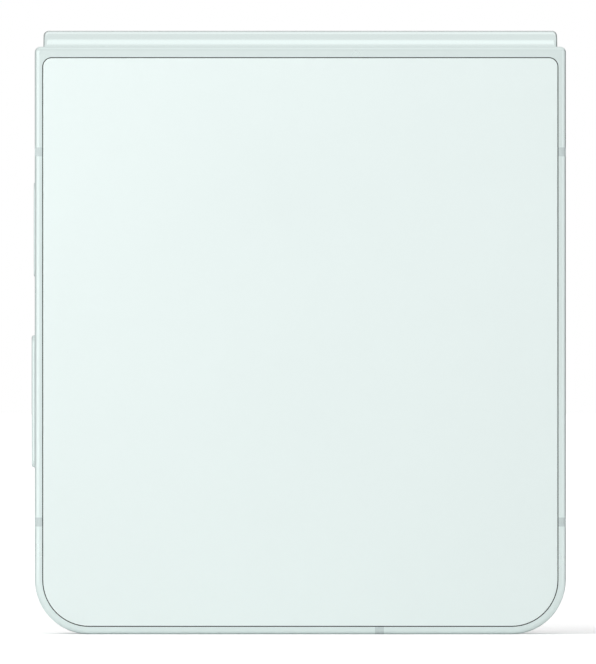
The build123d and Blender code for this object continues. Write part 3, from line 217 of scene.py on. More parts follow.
# Glass-filled nylon: matt and slightly greyer than the metal, with a short fibre grain.
nylon, tree, shader, place = new_finish("glass_filled_nylon", "#C2CFCE", 0.0, 0.45, IOR=1.53)
fibres = add_node(tree, "ShaderNodeTexNoise", {"Vector": place, "Scale": per_mm(0.4), "Detail": 3})
add_node(
    tree,
    "ShaderNodeMix",
    {"Factor": fibres.outputs["Fac"], "A": dye("#BDCAC9"), "B": dye("#C7D3D2")},
    shader["Base Color"],
    data_type="RGBA",
)
add_node(
    tree,
    "ShaderNodeBump",
    {"Height": fibres.outputs["Fac"], "Distance": 0.003 * mm, "Strength": 0.4},
    shader["Normal"],
)
for node in ("main_antenna_bands", "cover_antenna_bands"):
    dress(node, nylon)

# ------------------------------------------------------------------ back glass and the glass seals
# The plain half's glass is toughened, satin-etched outside and lacquered pearl mint inside.
# Both outer glasses are glued into their frames on a dark foam seal, a fine line all round.
# Its black is partly painted shade, standing for the shadow in the narrow gap by the glass.

outer_face = 6.85
glass_half_width, glass_foot, glass_head = 36.44, 1.16, 81.6
glass_foot_radius, glass_head_radius = 6.54, 1.25
glass_gap = 0.1
seal_recess = 0.1
seal_depth = 0.5
pane_inset = 0.03


def panel_outline(inset, steps=16):
    """Points in X and Z, mm, round an outer glass or, with a negative inset, its pocket."""
    half_width = glass_half_width - inset
    foot, head = glass_foot + inset, glass_head - inset
    foot_radius, head_radius = glass_foot_radius - inset, glass_head_radius - inset
    corners = (
        (-half_width + foot_radius, foot + foot_radius, foot_radius, 180),
        (half_width - foot_radius, foot + foot_radius, foot_radius, 270),
        (half_width - head_radius, head - head_radius, head_radius, 0),
        (-half_width + head_radius, head - head_radius, head_radius, 90),
    )
    points = []
    for x, z, radius, first in corners:
        for i in range(steps + 1):
            angle = math.radians(first + 90 * i / steps)
            points.append((x + radius * math.cos(angle), z + radius * math.sin(angle)))
    return points


def ring_mesh(name, outer, inner, near, far):
    """Closed ring between two outlines with as many points, between two places along Y, mm."""
    ring = bmesh.new()
    loops = []
    for points, y in ((outer, near), (inner, near), (inner, far), (outer, far)):
        loops.append([ring.verts.new((x * mm, y * mm, z * mm)) for x, z in points])
    for a, b in zip(loops, loops[1:] + loops[:1]):
        for i in range(len(a)):
            ring.faces.new((a[i - 1], a[i], b[i], b[i - 1]))
    bmesh.ops.recalc_face_normals(ring, faces=ring.faces)
    return finish_mesh(ring, name)


# Closed-cell foam tape: black and dull, with open bubbles along its edge.
# Its black is partly the tape's own and partly painted shade for the deep, narrow gap.
foam_and_gap_shade, tree, shader, place = new_finish(
    "closed_cell_foam", "#161818", 0.0, 0.9, Specular_IOR_Level=0.2
)
bubbles = add_node(tree, "ShaderNodeTexVoronoi", {"Vector": place, "Scale": per_mm(0.15)})
add_node(
    tree,
    "ShaderNodeBump",
    {"Height": bubbles.outputs["Distance"], "Distance": 0.01 * mm, "Strength": 0.5},
    shader["Normal"],
)
for side, body, inset in ((-1, "main_half", pane_inset), (1, "cover_half", 0)):
    near, far = side * (outer_face - seal_recess), side * (outer_face - seal_depth)
    seal = ring_mesh(body + "_seal", panel_outline(-glass_gap), panel_outline(inset), near, far)
    lay_in(body + "_glass_seal", seal, foam_and_gap_shade, body, "black_bezel")

# Satin-etched glass over pearl lacquer: soft and milky, with a slow drift in the pearl.
satin_glass, tree, shader, place = new_finish("satin_etched_glass", "#E3EEEC", 0.0, 0.36, IOR=1.52)
drift = add_node(tree, "ShaderNodeTexNoise", {"Vector": place, "Scale": per_mm(45), "Detail": 1})
add_node(
    tree,
    "ShaderNodeMix",
    {"Factor": drift.outputs["Fac"], "A": dye("#E1ECEA"), "B": dye("#E5F0EE")},
    shader["Base Color"],
    data_type="RGBA",
)
etching = add_node(
    tree, "ShaderNodeTexNoise", {"Vector": place, "Scale": per_mm(0.2), "Detail": 2}
)
add_node(
    tree,
    "ShaderNodeBump",
    {"Height": etching.outputs["Fac"], "Distance": 0.001 * mm, "Strength": 0.15},
    shader["Normal"],
)


def pane_mesh(name, loops):
    """Closed pane through outer glass outlines, each an (inset, y) pair, mm."""
    pane = bmesh.new()
    rows = []
    for inset, y in loops:
        rows.append([pane.verts.new((x * mm, y * mm, z * mm)) for x, z in panel_outline(inset)])
    for a, b in zip(rows, rows[1:]):
        for i in range(len(a)):
            pane.faces.new((a[i - 1], a[i], b[i], b[i - 1]))
    pane.faces.new(rows[0])
    pane.faces.new(rows[-1])
    bmesh.ops.recalc_face_normals(pane, faces=pane.faces)
    return finish_mesh(pane, name, crease=40)


# The pane's edges are ground off finely, so that it fills its pocket right up to the seal.
pane_edge, pane_thickness = 0.03, 0.6
pane_inside = outer_face - pane_thickness
pane = pane_mesh(
    "main_back_pane",
    (
        (pane_inset + pane_edge, -outer_face),
        (pane_inset, -outer_face + pane_edge),
        (pane_inset, -pane_inside - pane_edge),
        (pane_inset + pane_edge, -pane_inside),
    ),
)
lay_in("main_back_pane", pane, satin_glass, "main_half", "back_glass", "main_back_glass")

# ------------------------------------------------------------------ cover glass and its window
# Polished toughened glass. The camera corner is lacquered behind like the body, and the rest
# shows the black of the switched-off cover screen, which ends in a stepped corner.

# Glass over smooth lacquer: a deep gloss on the body colour.
gloss_glass, tree, shader, place = new_finish(
    "lacquered_polished_glass", "#E4F0EE", 0.0, 0.05, IOR=1.52
)
lacquer = add_node(tree, "ShaderNodeTexNoise", {"Vector": place, "Scale": per_mm(30), "Detail": 1})
add_node(
    tree,
    "ShaderNodeMix",
    {"Factor": lacquer.outputs["Fac"], "A": dye("#E2EEEC"), "B": dye("#E6F2F0")},
    shader["Base Color"],
    data_type="RGBA",
)
dress("cover_glass", gloss_glass)


def arc_points(x, z, radius, first, last, steps=10):
    """Points on an arc in X and Z, mm, between two angles in degrees."""
    angles = [math.radians(first + (last - first) * i / steps) for i in range(steps + 1)]
    return [(x + radius * math.cos(a), z + radius * math.sin(a)) for a in angles]


def sheet_mesh(name, points, near, far):
    """Flat sheet of an outline in X and Z, between two places along Y, mm."""
    sheet = bmesh.new()
    faces = []
    for y in (near, far):
        faces.append([sheet.verts.new((x * mm, y * mm, z * mm)) for x, z in points])
        sheet.faces.new(faces[-1])
    for i in range(len(points)):
        sheet.faces.new((faces[0][i - 1], faces[0][i], faces[1][i], faces[1][i - 1]))
    bmesh.ops.recalc_face_normals(sheet, faces=sheet.faces)
    return finish_mesh(sheet, name)


window_side, window_foot, window_head = 35.9, 1.7, 80.9
window_corner, window_top_corner, window_step = 6.0, 1, 2.2
window_sunk, window_proud = 0.03, 0.01
shelf_x, shelf_z = 0.2, 17.8
top_x, top_z = window_side - window_top_corner, window_head - window_top_corner
window_points = (
    arc_points(window_side - window_corner, window_foot + window_corner, window_corner, 270, 360)
    + arc_points(top_x, top_z, window_top_corner, 0, 90)
    + arc_points(-top_x, top_z, window_top_corner, 90, 180)
    + arc_points(window_step - window_side, shelf_z + window_step, window_step, 180, 270)
    + arc_points(shelf_x - window_step, shelf_z - window_step, window_step, 90, 0)
    + arc_points(shelf_x + window_step, window_foot + window_step, window_step, 180, 270)
)

# Polished glass over a black panel: a mirror-like gloss, dimmed by a thin coat against glare.
black_glass, tree, shader, place = new_finish(
    "black_panel_glass", "#07080A", 0.0, 0.04, IOR=1.52, Specular_IOR_Level=0.35
)
smears = add_node(tree, "ShaderNodeTexNoise", {"Vector": place, "Scale": per_mm(14), "Detail": 4})
add_node(
    tree,
    "ShaderNodeMapRange",
    {
        "Value": smears.outputs["Fac"],
        "From Min": 0.3,
        "From Max": 0.7,
        "To Min": 0.03,
        "To Max": 0.06,
    },
    shader["Roughness"],
)
near, far = outer_face - window_sunk, outer_face + window_proud
window = sheet_mesh("cover_screen_window", window_points, near, far)
lay_in("cover_screen_window", window, black_glass, "cover_half", "display_black")

# ------------------------------------------------------------------ cameras and flash
# Each camera has a turned and polished ring, a stepped black barrel that stops stray light,
# a coated front element and a flat sapphire pane. The flash sits under a small milky lens.

camera_places = ((-27.0, 10.4), (-12.6, 10.4))


def turned_mesh(name, place, profile, segments=96):
    """Round piece about an axis along Y from a profile of (radius, y) points, mm, closed at a
    radius of 0 or from its last point to its first."""
    lathe = bmesh.new()
    rings = []
    for radius, y in profile:
        ring = []
        for i in range(segments if radius else 1):
            angle = 2 * math.pi * i / segments
            x, z = place[0] + radius * math.cos(angle), place[1] + radius * math.sin(angle)
            ring.append(lathe.verts.new((x * mm, y * mm, z * mm)))
        rings.append(ring)
    pairs = list(zip(rings, rings[1:]))
    if profile[0][0]:
        pairs.append((rings[-1], rings[0]))
    for a, b in pairs:
        for i in range(segments):
            j = (i + 1) % segments
            corners = [a[i % len(a)], a[j % len(a)], b[j % len(b)], b[i % len(b)]]
            corners = list(dict.fromkeys(corners))
            if len(corners) > 2:
                lathe.faces.new(corners)
    bmesh.ops.recalc_face_normals(lathe, faces=lathe.faces)
    return finish_mesh(lathe, name, 30)


# Diamond-turned, dyed aluminium: nearly a mirror, with the faint rings of the lathe.
turned_ring, tree, shader, place = new_finish("diamond_turned_aluminium", "#DAE6E4", 1.0, 0.14)
marks = add_node(tree, "ShaderNodeTexNoise", {"Vector": place, "Scale": per_mm(1.2), "Detail": 3})
add_node(
    tree,
    "ShaderNodeMapRange",
    {
        "Value": marks.outputs["Fac"],
        "From Min": 0.3,
        "From Max": 0.7,
        "To Min": 0.1,
        "To Max": 0.18,
    },
    shader["Roughness"],
)
dress("camera_rings", turned_ring)

# Black-oxide brass: ridged and matt, so that the barrel looks bottomless.
black_barrel, tree, shader, place = new_finish("black_oxide_brass", "#0C0D0E", 0.3, 0.5)
grit = add_node(tree, "ShaderNodeTexNoise", {"Vector": place, "Scale": per_mm(0.12), "Detail": 2})
add_node(
    tree,
    "ShaderNodeBump",
    {"Height": grit.outputs["Fac"], "Distance": 0.004 * mm, "Strength": 0.4},
    shader["Normal"],
)
coat(black_barrel, "camera_modules")

# Optical glass with a thin anti-reflection coat: dark, with a violet and green cast.
coated_lens, tree, shader, place = new_finish(
    "coated_optical_glass",
    "#0A0C12",
    0.0,
    0.02,
    IOR=1.6,
    Thin_Film_Thickness=420,
    Thin_Film_IOR=1.38,
)
bloom = add_node(tree, "ShaderNodeTexNoise", {"Vector": place, "Scale": per_mm(2), "Detail": 1})
add_node(
    tree,
    "ShaderNodeMapRange",
    {"Value": bloom.outputs["Fac"], "To Min": 0.01, "To Max": 0.04},
    shader["Roughness"],
)

barrel_radius, barrel_bore, barrel_foot = 4.05, 2.4, 6.3
barrel_steps = (
    (barrel_radius, 6.85),
    (3.6, 6.85),
    (3.5, 6.74),
    (3.1, 6.74),
    (3.0, 6.66),
    (2.65, 6.66),
    (2.55, 6.61),
    (barrel_bore, 6.61),
    (barrel_bore, barrel_foot),
    (barrel_radius, barrel_foot),
)
element_radius, element_edge, element_bulge, element_back = 2.38, 6.05, 0.75, 6.0
for i, camera in enumerate(camera_places):
    barrel = turned_mesh("barrel", camera, barrel_steps)
    lay_in(f"lens_barrel_{i + 1}", barrel, black_barrel, "cover_half", "black_plastic")
    dome = [(0, element_edge + element_bulge)]
    for degrees in range(6, 95, 6):
        a = math.radians(degrees)
        rise = element_bulge * math.cos(a)
        dome.append((element_radius * math.sin(a), element_edge + rise))
    element = turned_mesh("element", camera, [*dome, (0, element_back)], 64)
    lay_in(f"front_element_{i + 1}", element, coated_lens, "cover_half", "lens_glass")

# Sapphire: clear and hard, with a sharp reflection that its coat dims to a faint violet.
sapphire, tree, shader, place = new_finish(
    "coated_sapphire", "#FFFFFF", 0.0, 0.0, IOR=1.77, Transmission_Weight=1.0
)
shader["Specular Tint"].default_value = dye("#8A84A0")
wear = add_node(tree, "ShaderNodeTexNoise", {"Vector": place, "Scale": per_mm(1.5), "Detail": 4})
add_node(
    tree,
    "ShaderNodeMapRange",
    {
        "Value": wear.outputs["Fac"],
        "From Min": 0.5,
        "From Max": 0.8,
        "To Min": 0.0,
        "To Max": 0.03,
    },
    shader["Roughness"],
)
dress("camera_lens_glasses", sapphire)

# Moulded acrylic with a fine frost inside: milky, just translucent.
frosted_acrylic, tree, shader, place = new_finish(
    "frosted_acrylic", "#F0EEDF", 0.0, 0.22, IOR=1.49, Subsurface_Weight=0.2
)
shader["Subsurface Scale"].default_value = 0.5 * mm
frost = add_node(tree, "ShaderNodeTexVoronoi", {"Vector": place, "Scale": per_mm(0.35)})
add_node(
    tree,
    "ShaderNodeBump",
    {"Height": frost.outputs["Distance"], "Distance": 0.03 * mm, "Strength": 0.6},
    shader["Normal"],
)
dress("flash_window", frosted_acrylic)

# Phosphor in silicone over the flash chips: deep yellow and chalky.
phosphor, tree, shader, place = new_finish("silicone_phosphor", "#E8D66A", 0.0, 0.5)
powder = add_node(tree, "ShaderNodeTexNoise", {"Vector": place, "Scale": per_mm(0.1), "Detail": 2})
add_node(
    tree,
    "ShaderNodeBump",
    {"Height": powder.outputs["Fac"], "Distance": 0.01 * mm, "Strength": 0.3},
    shader["Normal"],
)
coat(phosphor, "flash_led")

# ------------------------------------------------------------------ hinge
# A polished aluminium spine carries two brackets. Arms with sector gears and arc rails swing in
# them, and geared shafts with two idlers make both halves turn alike against friction clips.

# Polished and lightly brushed along its length, then dyed: brighter and smoother than the frame.
polished_spine, tree, shader, place = new_finish("polished_dyed_aluminium", "#E2EEEC", 1.0, 0.2)
along = add_node(tree, "ShaderNodeMapping", {"Vector": place, "Scale": (0.01, 1, 1)})
brushing = add_node(
    tree,
    "ShaderNodeTexNoise",
    {"Vector": along.outputs["Vector"], "Scale": per_mm(0.15), "Detail": 3},
)
add_node(
    tree,
    "ShaderNodeBump",
    {"Height": brushing.outputs["Fac"], "Distance": 0.0006 * mm, "Strength": 0.2},
    shader["Normal"],
)
dress("spine_cover", polished_spine)

# Sintered stainless steel: satin, with the faint pebble of the powder it was moulded from.
sintered_steel, tree, shader, place = new_finish("sintered_stainless_steel", "#B9BCBD", 1.0, 0.34)
pebble = add_node(
    tree, "ShaderNodeTexNoise", {"Vector": place, "Scale": per_mm(0.15), "Detail": 3}
)
add_node(
    tree,
    "ShaderNodeBump",
    {"Height": pebble.outputs["Fac"], "Distance": 0.004 * mm, "Strength": 0.4},
    shader["Normal"],
)
coat(
    sintered_steel,
    "hinge_bracket_left",
    "hinge_bracket_right",
    "main_hinge_arm_left",
    "main_hinge_arm_right",
    "cover_hinge_arm_left",
    "cover_hinge_arm_right",
)

# Hobbed and tumbled steel: bright, with a thin smear of grease that softens some of it.
hobbed_steel, tree, shader, place = new_finish("hobbed_gear_steel", "#CACCCC", 1.0, 0.22)
grease = add_node(tree, "ShaderNodeTexNoise", {"Vector": place, "Scale": per_mm(0.8), "Detail": 3})
add_node(
    tree,
    "ShaderNodeMapRange",
    {
        "Value": grease.outputs["Fac"],
        "From Min": 0.35,
        "From Max": 0.65,
        "To Min": 0.16,
        "To Max": 0.4,
    },
    shader["Roughness"],
)
for node in ("cover_gear_shafts", "main_gear_shafts", "cover_idler_gears", "main_idler_gears"):
    dress(node, hobbed_steel, 25)

# Cold-rolled spring steel: fine rolling lines along the sheet.
rolled_steel, tree, shader, place = new_finish("rolled_spring_steel", "#BFC3C5", 1.0, 0.27)
rolled = add_node(tree, "ShaderNodeMapping", {"Vector": place, "Scale": (0.03, 1, 1)})
lines = add_node(
    tree,
    "ShaderNodeTexNoise",
    {"Vector": rolled.outputs["Vector"], "Scale": per_mm(0.3), "Detail": 4},
)
add_node(
    tree,
    "ShaderNodeMapRange",
    {
        "Value": lines.outputs["Fac"],
        "From Min": 0.3,
        "From Max": 0.7,
        "To Min": 0.22,
        "To Max": 0.38,
    },
    shader["Roughness"],
)
coat(
    rolled_steel,
    "main_wing_plate",
    "cover_wing_plate",
    "main_screen_backing",
    "cover_screen_backing",
    "friction_clips",
    "sim_socket",
    "usb_port_shell",
    "key_switches",
    "vibration_motor",
)

# Nickel-plated steel screws: a warmer, brighter silver.
nickel_plate, tree, shader, place = new_finish("nickel_plated_steel", "#D3D0C8", 1.0, 0.2)
plating = add_node(
    tree, "ShaderNodeTexNoise", {"Vector": place, "Scale": per_mm(0.5), "Detail": 2}
)
add_node(
    tree,
    "ShaderNodeMapRange",
    {
        "Value": plating.outputs["Fac"],
        "From Min": 0.3,
        "From Max": 0.7,
        "To Min": 0.15,
        "To Max": 0.28,
    },
    shader["Roughness"],
)
coat(nickel_plate, "main_hinge_screws", "cover_hinge_screws")

# ------------------------------------------------------------------ folding screen and its rims
# One sheet of display film lies on both halves and is free near the hinge, where it hangs in a
# slim drop while the phone is closed. It is made in two strips that meet on the hinge's middle.

fold_axis_y, fold_axis_z = 1.8, 81.55
screen_face, screen_side, screen_foot = 0.35, 36.3, 1.3
screen_corner = 6.4
full_thickness, fold_thickness = 0.5, 0.08
thinning = (72.0, 80.0)
bend_start = 73.0
tip_height = fold_axis_y - screen_face


def ease(value, first, last):
    """Rises smoothly from 0 to 1 between two places."""
    t = min(max((value - first) / (last - first), 0), 1)
    return t * t * (3 - 2 * t)


# The strip's tip is turned by this share of a quarter turn, so that it ends on the hinge's middle.
tip_share = 1 - math.degrees(2 * math.atan2(tip_height, fold_axis_y)) / 90
low, high = 0.0, 1.0
for _ in range(50):
    middle = (low + high) / 2
    low, high = (middle, high) if ease(middle, 0, 1) < tip_share else (low, middle)
bend_end = bend_start + (fold_axis_z + tip_height - bend_start) / low


def strip_mesh(name, side):
    """Strip of screen from the foot to the hinge's middle."""
    strip = bmesh.new()
    rows = []
    for i in range(13):
        angle = math.pi / 2 * i / 12
        across = screen_side - screen_corner * (1 - math.sin(angle))
        rows.append((across, screen_foot + screen_corner * (1 - math.cos(angle))))
    rows += [(screen_side, thinning[0])]
    tip = fold_axis_z + tip_height
    rows += [(screen_side, bend_start + (tip - bend_start) * i / 40) for i in range(41)]
    loops = []
    for across, z in rows:
        turn = math.pi / 2 * ease(z, bend_start, bend_end)
        height = z - fold_axis_z
        thickness = full_thickness + (fold_thickness - full_thickness) * ease(z, *thinning)
        loop = []
        for depth in (screen_face, screen_face + thickness):
            inward = (fold_axis_y - depth + height * math.sin(turn)) / math.cos(turn)
            y = side * (fold_axis_y - inward)
            ends = [strip.verts.new((x * mm, y * mm, z * mm)) for x in (-across, across)]
            loop += ends if depth == screen_face else ends[::-1]
        loops.append(loop)
    strip.faces.new(loops[0])
    strip.faces.new(loops[-1])
    for a, b in zip(loops, loops[1:]):
        for i in range(4):
            strip.faces.new((a[i - 1], a[i], b[i], b[i - 1]))
    bmesh.ops.recalc_face_normals(strip, faces=strip.faces)
    return finish_mesh(strip, name, 40)


# Polymer film over a black, switched-off display: glossy, a little softer than glass.
display_film, tree, shader, place = new_finish(
    "polymer_display_film", "#08090B", 0.0, 0.1, IOR=1.5, Specular_IOR_Level=0.35
)
ripple = add_node(tree, "ShaderNodeTexNoise", {"Vector": place, "Scale": per_mm(18), "Detail": 2})
add_node(
    tree,
    "ShaderNodeBump",
    {"Height": ripple.outputs["Fac"], "Distance": 0.02 * mm, "Strength": 0.2},
    shader["Normal"],
)
selfie_place, selfie_bore, selfie_bore_depth = (0, 6.4), 1.8, 1.2
for side, half, nodes in (
    (-1, "main_half", ["inner_screen_main"]),
    (1, "cover_half", ["inner_screen_cover", "inner_screen_fold"]),
):
    mesh = strip_mesh(half + "_screen", side)
    strip = lay_in(half + "_screen", mesh, display_film, None, "inner_display", *nodes)
    if half == "cover_half":
        rim = [(selfie_bore, 0), (selfie_bore, selfie_bore_depth)]
        punch_profile = [(0, 0), *rim, (0, selfie_bore_depth)]
        punch_mesh = turned_mesh("selfie_punch", selfie_place, punch_profile, 48)
        punch = bpy.data.objects.new("selfie_punch", punch_mesh)
        bpy.context.collection.objects.link(punch)
        cut = strip.modifiers.new("selfie_hole", "BOOLEAN")
        cut.operation, cut.object, cut.solver = "DIFFERENCE", punch, "EXACT"
        take_out(strip)
        bpy.data.objects.remove(punch)
        # the cut loses the sharp edges, so they are marked again
        shell = bmesh.new()
        shell.from_mesh(strip.data)
        for edge in shell.edges:
            edge.smooth = edge.calc_face_angle(math.pi) < math.radians(40)
        shell.to_mesh(strip.data)
        shell.free()
    edge = side * screen_face * mm
    start, end = (0, edge, bend_start * mm), (0, edge, bend_end * mm)
    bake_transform(strip)

# Thermoplastic rubber rims: soft, matt black, finely sand-textured.
rim_rubber, tree, shader, place = new_finish("thermoplastic_rubber", "#17191B", 0.0, 0.55)
sanding = add_node(
    tree, "ShaderNodeTexNoise", {"Vector": place, "Scale": per_mm(0.2), "Detail": 2}
)
add_node(
    tree,
    "ShaderNodeBump",
    {"Height": sanding.outputs["Fac"], "Distance": 0.008 * mm, "Strength": 0.4},
    shader["Normal"],
)
dress("main_bezel", rim_rubber)
dress("cover_bezel", rim_rubber)

coat(black_barrel, "selfie_camera")
selfie_profile = [(0, 0.5), (0.3, 0.52), (0.55, 0.58), (0.68, 0.66), (0.68, 0.74), (0, 0.74)]
selfie_lens = turned_mesh("selfie_lens", selfie_place, selfie_profile, 48)
lay_in("selfie_lens", selfie_lens, coated_lens, "cover_half", "lens_glass")

# ------------------------------------------------------------------ boards and what sits on them
# The main board lies behind the cover screen and a small charging board at the foot, both black
# glass-epoxy. Nickel-silver cans screen the chips, and black mouldings hold the loud parts.

# Glass-epoxy board under solder mask: copper tracks show as a faint squared relief.
board_mask, tree, shader, place = new_finish("solder_masked_board", "#15201C", 0.0, 0.35, IOR=1.55)
tracks = add_node(
    tree,
    "ShaderNodeTexBrick",
    {
        "Vector": place,
        "Scale": per_mm(1.6),
        "Color1": dye("#16221D"),
        "Color2": dye("#1B2A24"),
        "Mortar": dye("#2C4238"),
        "Mortar Size": 0.03,
    },
    shader["Base Color"],
)
add_node(
    tree,
    "ShaderNodeBump",
    {"Height": tracks.outputs["Fac"], "Distance": 0.02 * mm, "Strength": 0.6},
    shader["Normal"],
)
coat(board_mask, "logic_board", "charging_board")

# Nickel silver, stamped: a warm grey metal with shallow dishing.
nickel_silver, tree, shader, place = new_finish("stamped_nickel_silver", "#C9C6BC", 1.0, 0.3)
dishing = add_node(tree, "ShaderNodeTexNoise", {"Vector": place, "Scale": per_mm(5), "Detail": 1})
add_node(
    tree,
    "ShaderNodeBump",
    {"Height": dishing.outputs["Fac"], "Distance": 0.1 * mm, "Strength": 0.4},
    shader["Normal"],
)
coat(nickel_silver, "board_shields")

# Glass-filled polyamide: matt black with a fine spark-eroded grain from the mould.
black_nylon, tree, shader, place = new_finish("black_polyamide", "#18191A", 0.0, 0.5, IOR=1.53)
spark = add_node(tree, "ShaderNodeTexVoronoi", {"Vector": place, "Scale": per_mm(0.18)})
add_node(
    tree,
    "ShaderNodeBump",
    {"Height": spark.outputs["Distance"], "Distance": 0.01 * mm, "Strength": 0.4},
    shader["Normal"],
)
coat(
    black_nylon,
    "loudspeaker",
    "earpiece_speaker",
    "main_board_cover",
    "usb_port_tongue",
    "cover_display",
)

# Gold flash over nickel: the plug contacts and the microphones' cans.
gold_flash, tree, shader, place = new_finish("gold_plated_copper", "#E3BC6C", 1.0, 0.22)
rubbing = add_node(
    tree, "ShaderNodeTexNoise", {"Vector": place, "Scale": per_mm(0.4), "Detail": 3}
)
add_node(
    tree,
    "ShaderNodeMapRange",
    {
        "Value": rubbing.outputs["Fac"],
        "From Min": 0.3,
        "From Max": 0.7,
        "To Min": 0.16,
        "To Max": 0.32,
    },
    shader["Roughness"],
)
coat(gold_flash, "usb_contacts", "foot_microphone", "top_microphone")

# ------------------------------------------------------------------ batteries
# Each half holds a flat lithium pouch cell, sealed in laminated foil and glued down.

# Laminated foil under black wrap: a dull metallic sheen with soft wrinkles.
pouch_foil, tree, shader, place = new_finish("laminated_pouch_foil", "#4A4D50", 0.7, 0.38)
wrinkles = add_node(
    tree,
    "ShaderNodeTexNoise",
    {"Vector": place, "Scale": per_mm(6), "Detail": 3, "Distortion": 1.5},
)
add_node(
    tree,
    "ShaderNodeBump",
    {"Height": wrinkles.outputs["Fac"], "Distance": 0.15 * mm, "Strength": 0.5},
    shader["Normal"],
)
coat(pouch_foil, "main_battery", "cover_battery")

# ------------------------------------------------------------------ charging coil
# A flat spiral of enamelled copper wire lies on a ferrite sheet behind the back glass.

# Enamelled copper: orange metal under a clear varnish.
enamelled_copper, tree, shader, place = new_finish(
    "enamelled_copper", "#C9783F", 1.0, 0.3, Coat_Weight=0.5
)
varnish = add_node(tree, "ShaderNodeTexNoise", {"Vector": place, "Scale": per_mm(2), "Detail": 2})
add_node(
    tree,
    "ShaderNodeMix",
    {"Factor": varnish.outputs["Fac"], "A": dye("#C06F38"), "B": dye("#D08148")},
    shader["Base Color"],
    data_type="RGBA",
)

# Sintered ferrite in a foil: dark grey, scored into small tiles so that it bends.
ferrite, tree, shader, place = new_finish("scored_ferrite_sheet", "#2A2B2D", 0.1, 0.5)
tiles = add_node(
    tree,
    "ShaderNodeTexVoronoi",
    {"Vector": place, "Scale": per_mm(2.0), "Randomness": 0.3},
    feature="DISTANCE_TO_EDGE",
)
scores = add_node(
    tree, "ShaderNodeMapRange", {"Value": tiles.outputs["Distance"], "From Max": 0.05}
)
add_node(
    tree,
    "ShaderNodeBump",
    {"Height": scores.outputs["Result"], "Distance": 0.02 * mm, "Strength": 0.5},
    shader["Normal"],
)
coat(ferrite, "coil_shield")


def new_tree(name, **sizes):
    """Empty geometry tree with its sizes as named inputs: the tree, its input and its output."""
    tree = bpy.data.node_groups.new(name, "GeometryNodeTree")
    tree.interface.new_socket("Geometry", in_out="OUTPUT", socket_type="NodeSocketGeometry")
    for size, value in sizes.items():
        kind = "NodeSocketInt" if isinstance(value, int) else "NodeSocketFloat"
        tree.interface.new_socket(size.replace("_", " "), in_out="INPUT", socket_type=kind)
    sizes_in = tree.nodes.new("NodeGroupInput").outputs
    return tree, sizes_in, tree.nodes.new("NodeGroupOutput").inputs[0]


def grow(name, tree, material, body, slot, node, **sizes):
    """Runs a geometry tree with these sizes and lays its mesh in for a CAD node."""
    piece = bpy.data.objects.new(name, bpy.data.meshes.new(name))
    bpy.context.collection.objects.link(piece)
    maker = piece.modifiers.new(name, "NODES")
    maker.node_group = tree
    for socket in tree.interface.items_tree:
        if socket.in_out == "INPUT":
            maker[socket.identifier] = sizes[socket.name.replace(" ", "_")]
    take_out(piece)
    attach(piece, body)
    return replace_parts(piece, node)


coil_low, coil_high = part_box("charging_coil")
winding_margin = 0.16 * mm
coil_sizes = dict(
    Turns=13,
    Inner_Radius=12.2 * mm,
    Outer_Radius=(coil_high.x - coil_low.x) / 2 - winding_margin,
    Wire_Radius=0.15 * mm,
)
tree, sizes, out = new_tree("coil_winding", **coil_sizes)
spiral = add_node(
    tree,
    "GeometryNodeCurveSpiral",
    {
        "Resolution": 72,
        "Rotations": sizes["Turns"],
        "Start Radius": sizes["Inner Radius"],
        "End Radius": sizes["Outer Radius"],
        "Height": 0.0,
    },
)
wire = add_node(
    tree, "GeometryNodeCurvePrimitiveCircle", {"Resolution": 6, "Radius": sizes["Wire Radius"]}
)
wound = add_node(
    tree,
    "GeometryNodeCurveToMesh",
    {"Curve": spiral.outputs["Curve"], "Profile Curve": wire.outputs["Curve"], "Fill Caps": True},
)
laid = add_node(
    tree,
    "GeometryNodeTransform",
    {
        "Geometry": wound.outputs["Mesh"],
        "Translation": (coil_low + coil_high) / 2,
        "Rotation": (math.radians(90), 0, 0),
    },
)
real = add_node(tree, "GeometryNodeRealizeInstances", {"Geometry": laid.outputs["Geometry"]})
add_node(
    tree,
    "GeometryNodeSetMaterial",
    {"Geometry": real.outputs["Geometry"], "Material": enamelled_copper},
    out,
)
grow(
    "charging_coil_winding",
    tree,
    enamelled_copper,
    "main_half",
    "copper_coil",
    "charging_coil",
    **coil_sizes,
)

# ------------------------------------------------------------------ charging port and loudspeaker
# The port is a drawn steel shell round a black tongue with two rows of gold-plated contacts.
# Behind the six holes beside it a plain-woven steel mesh keeps dust from the loudspeaker.

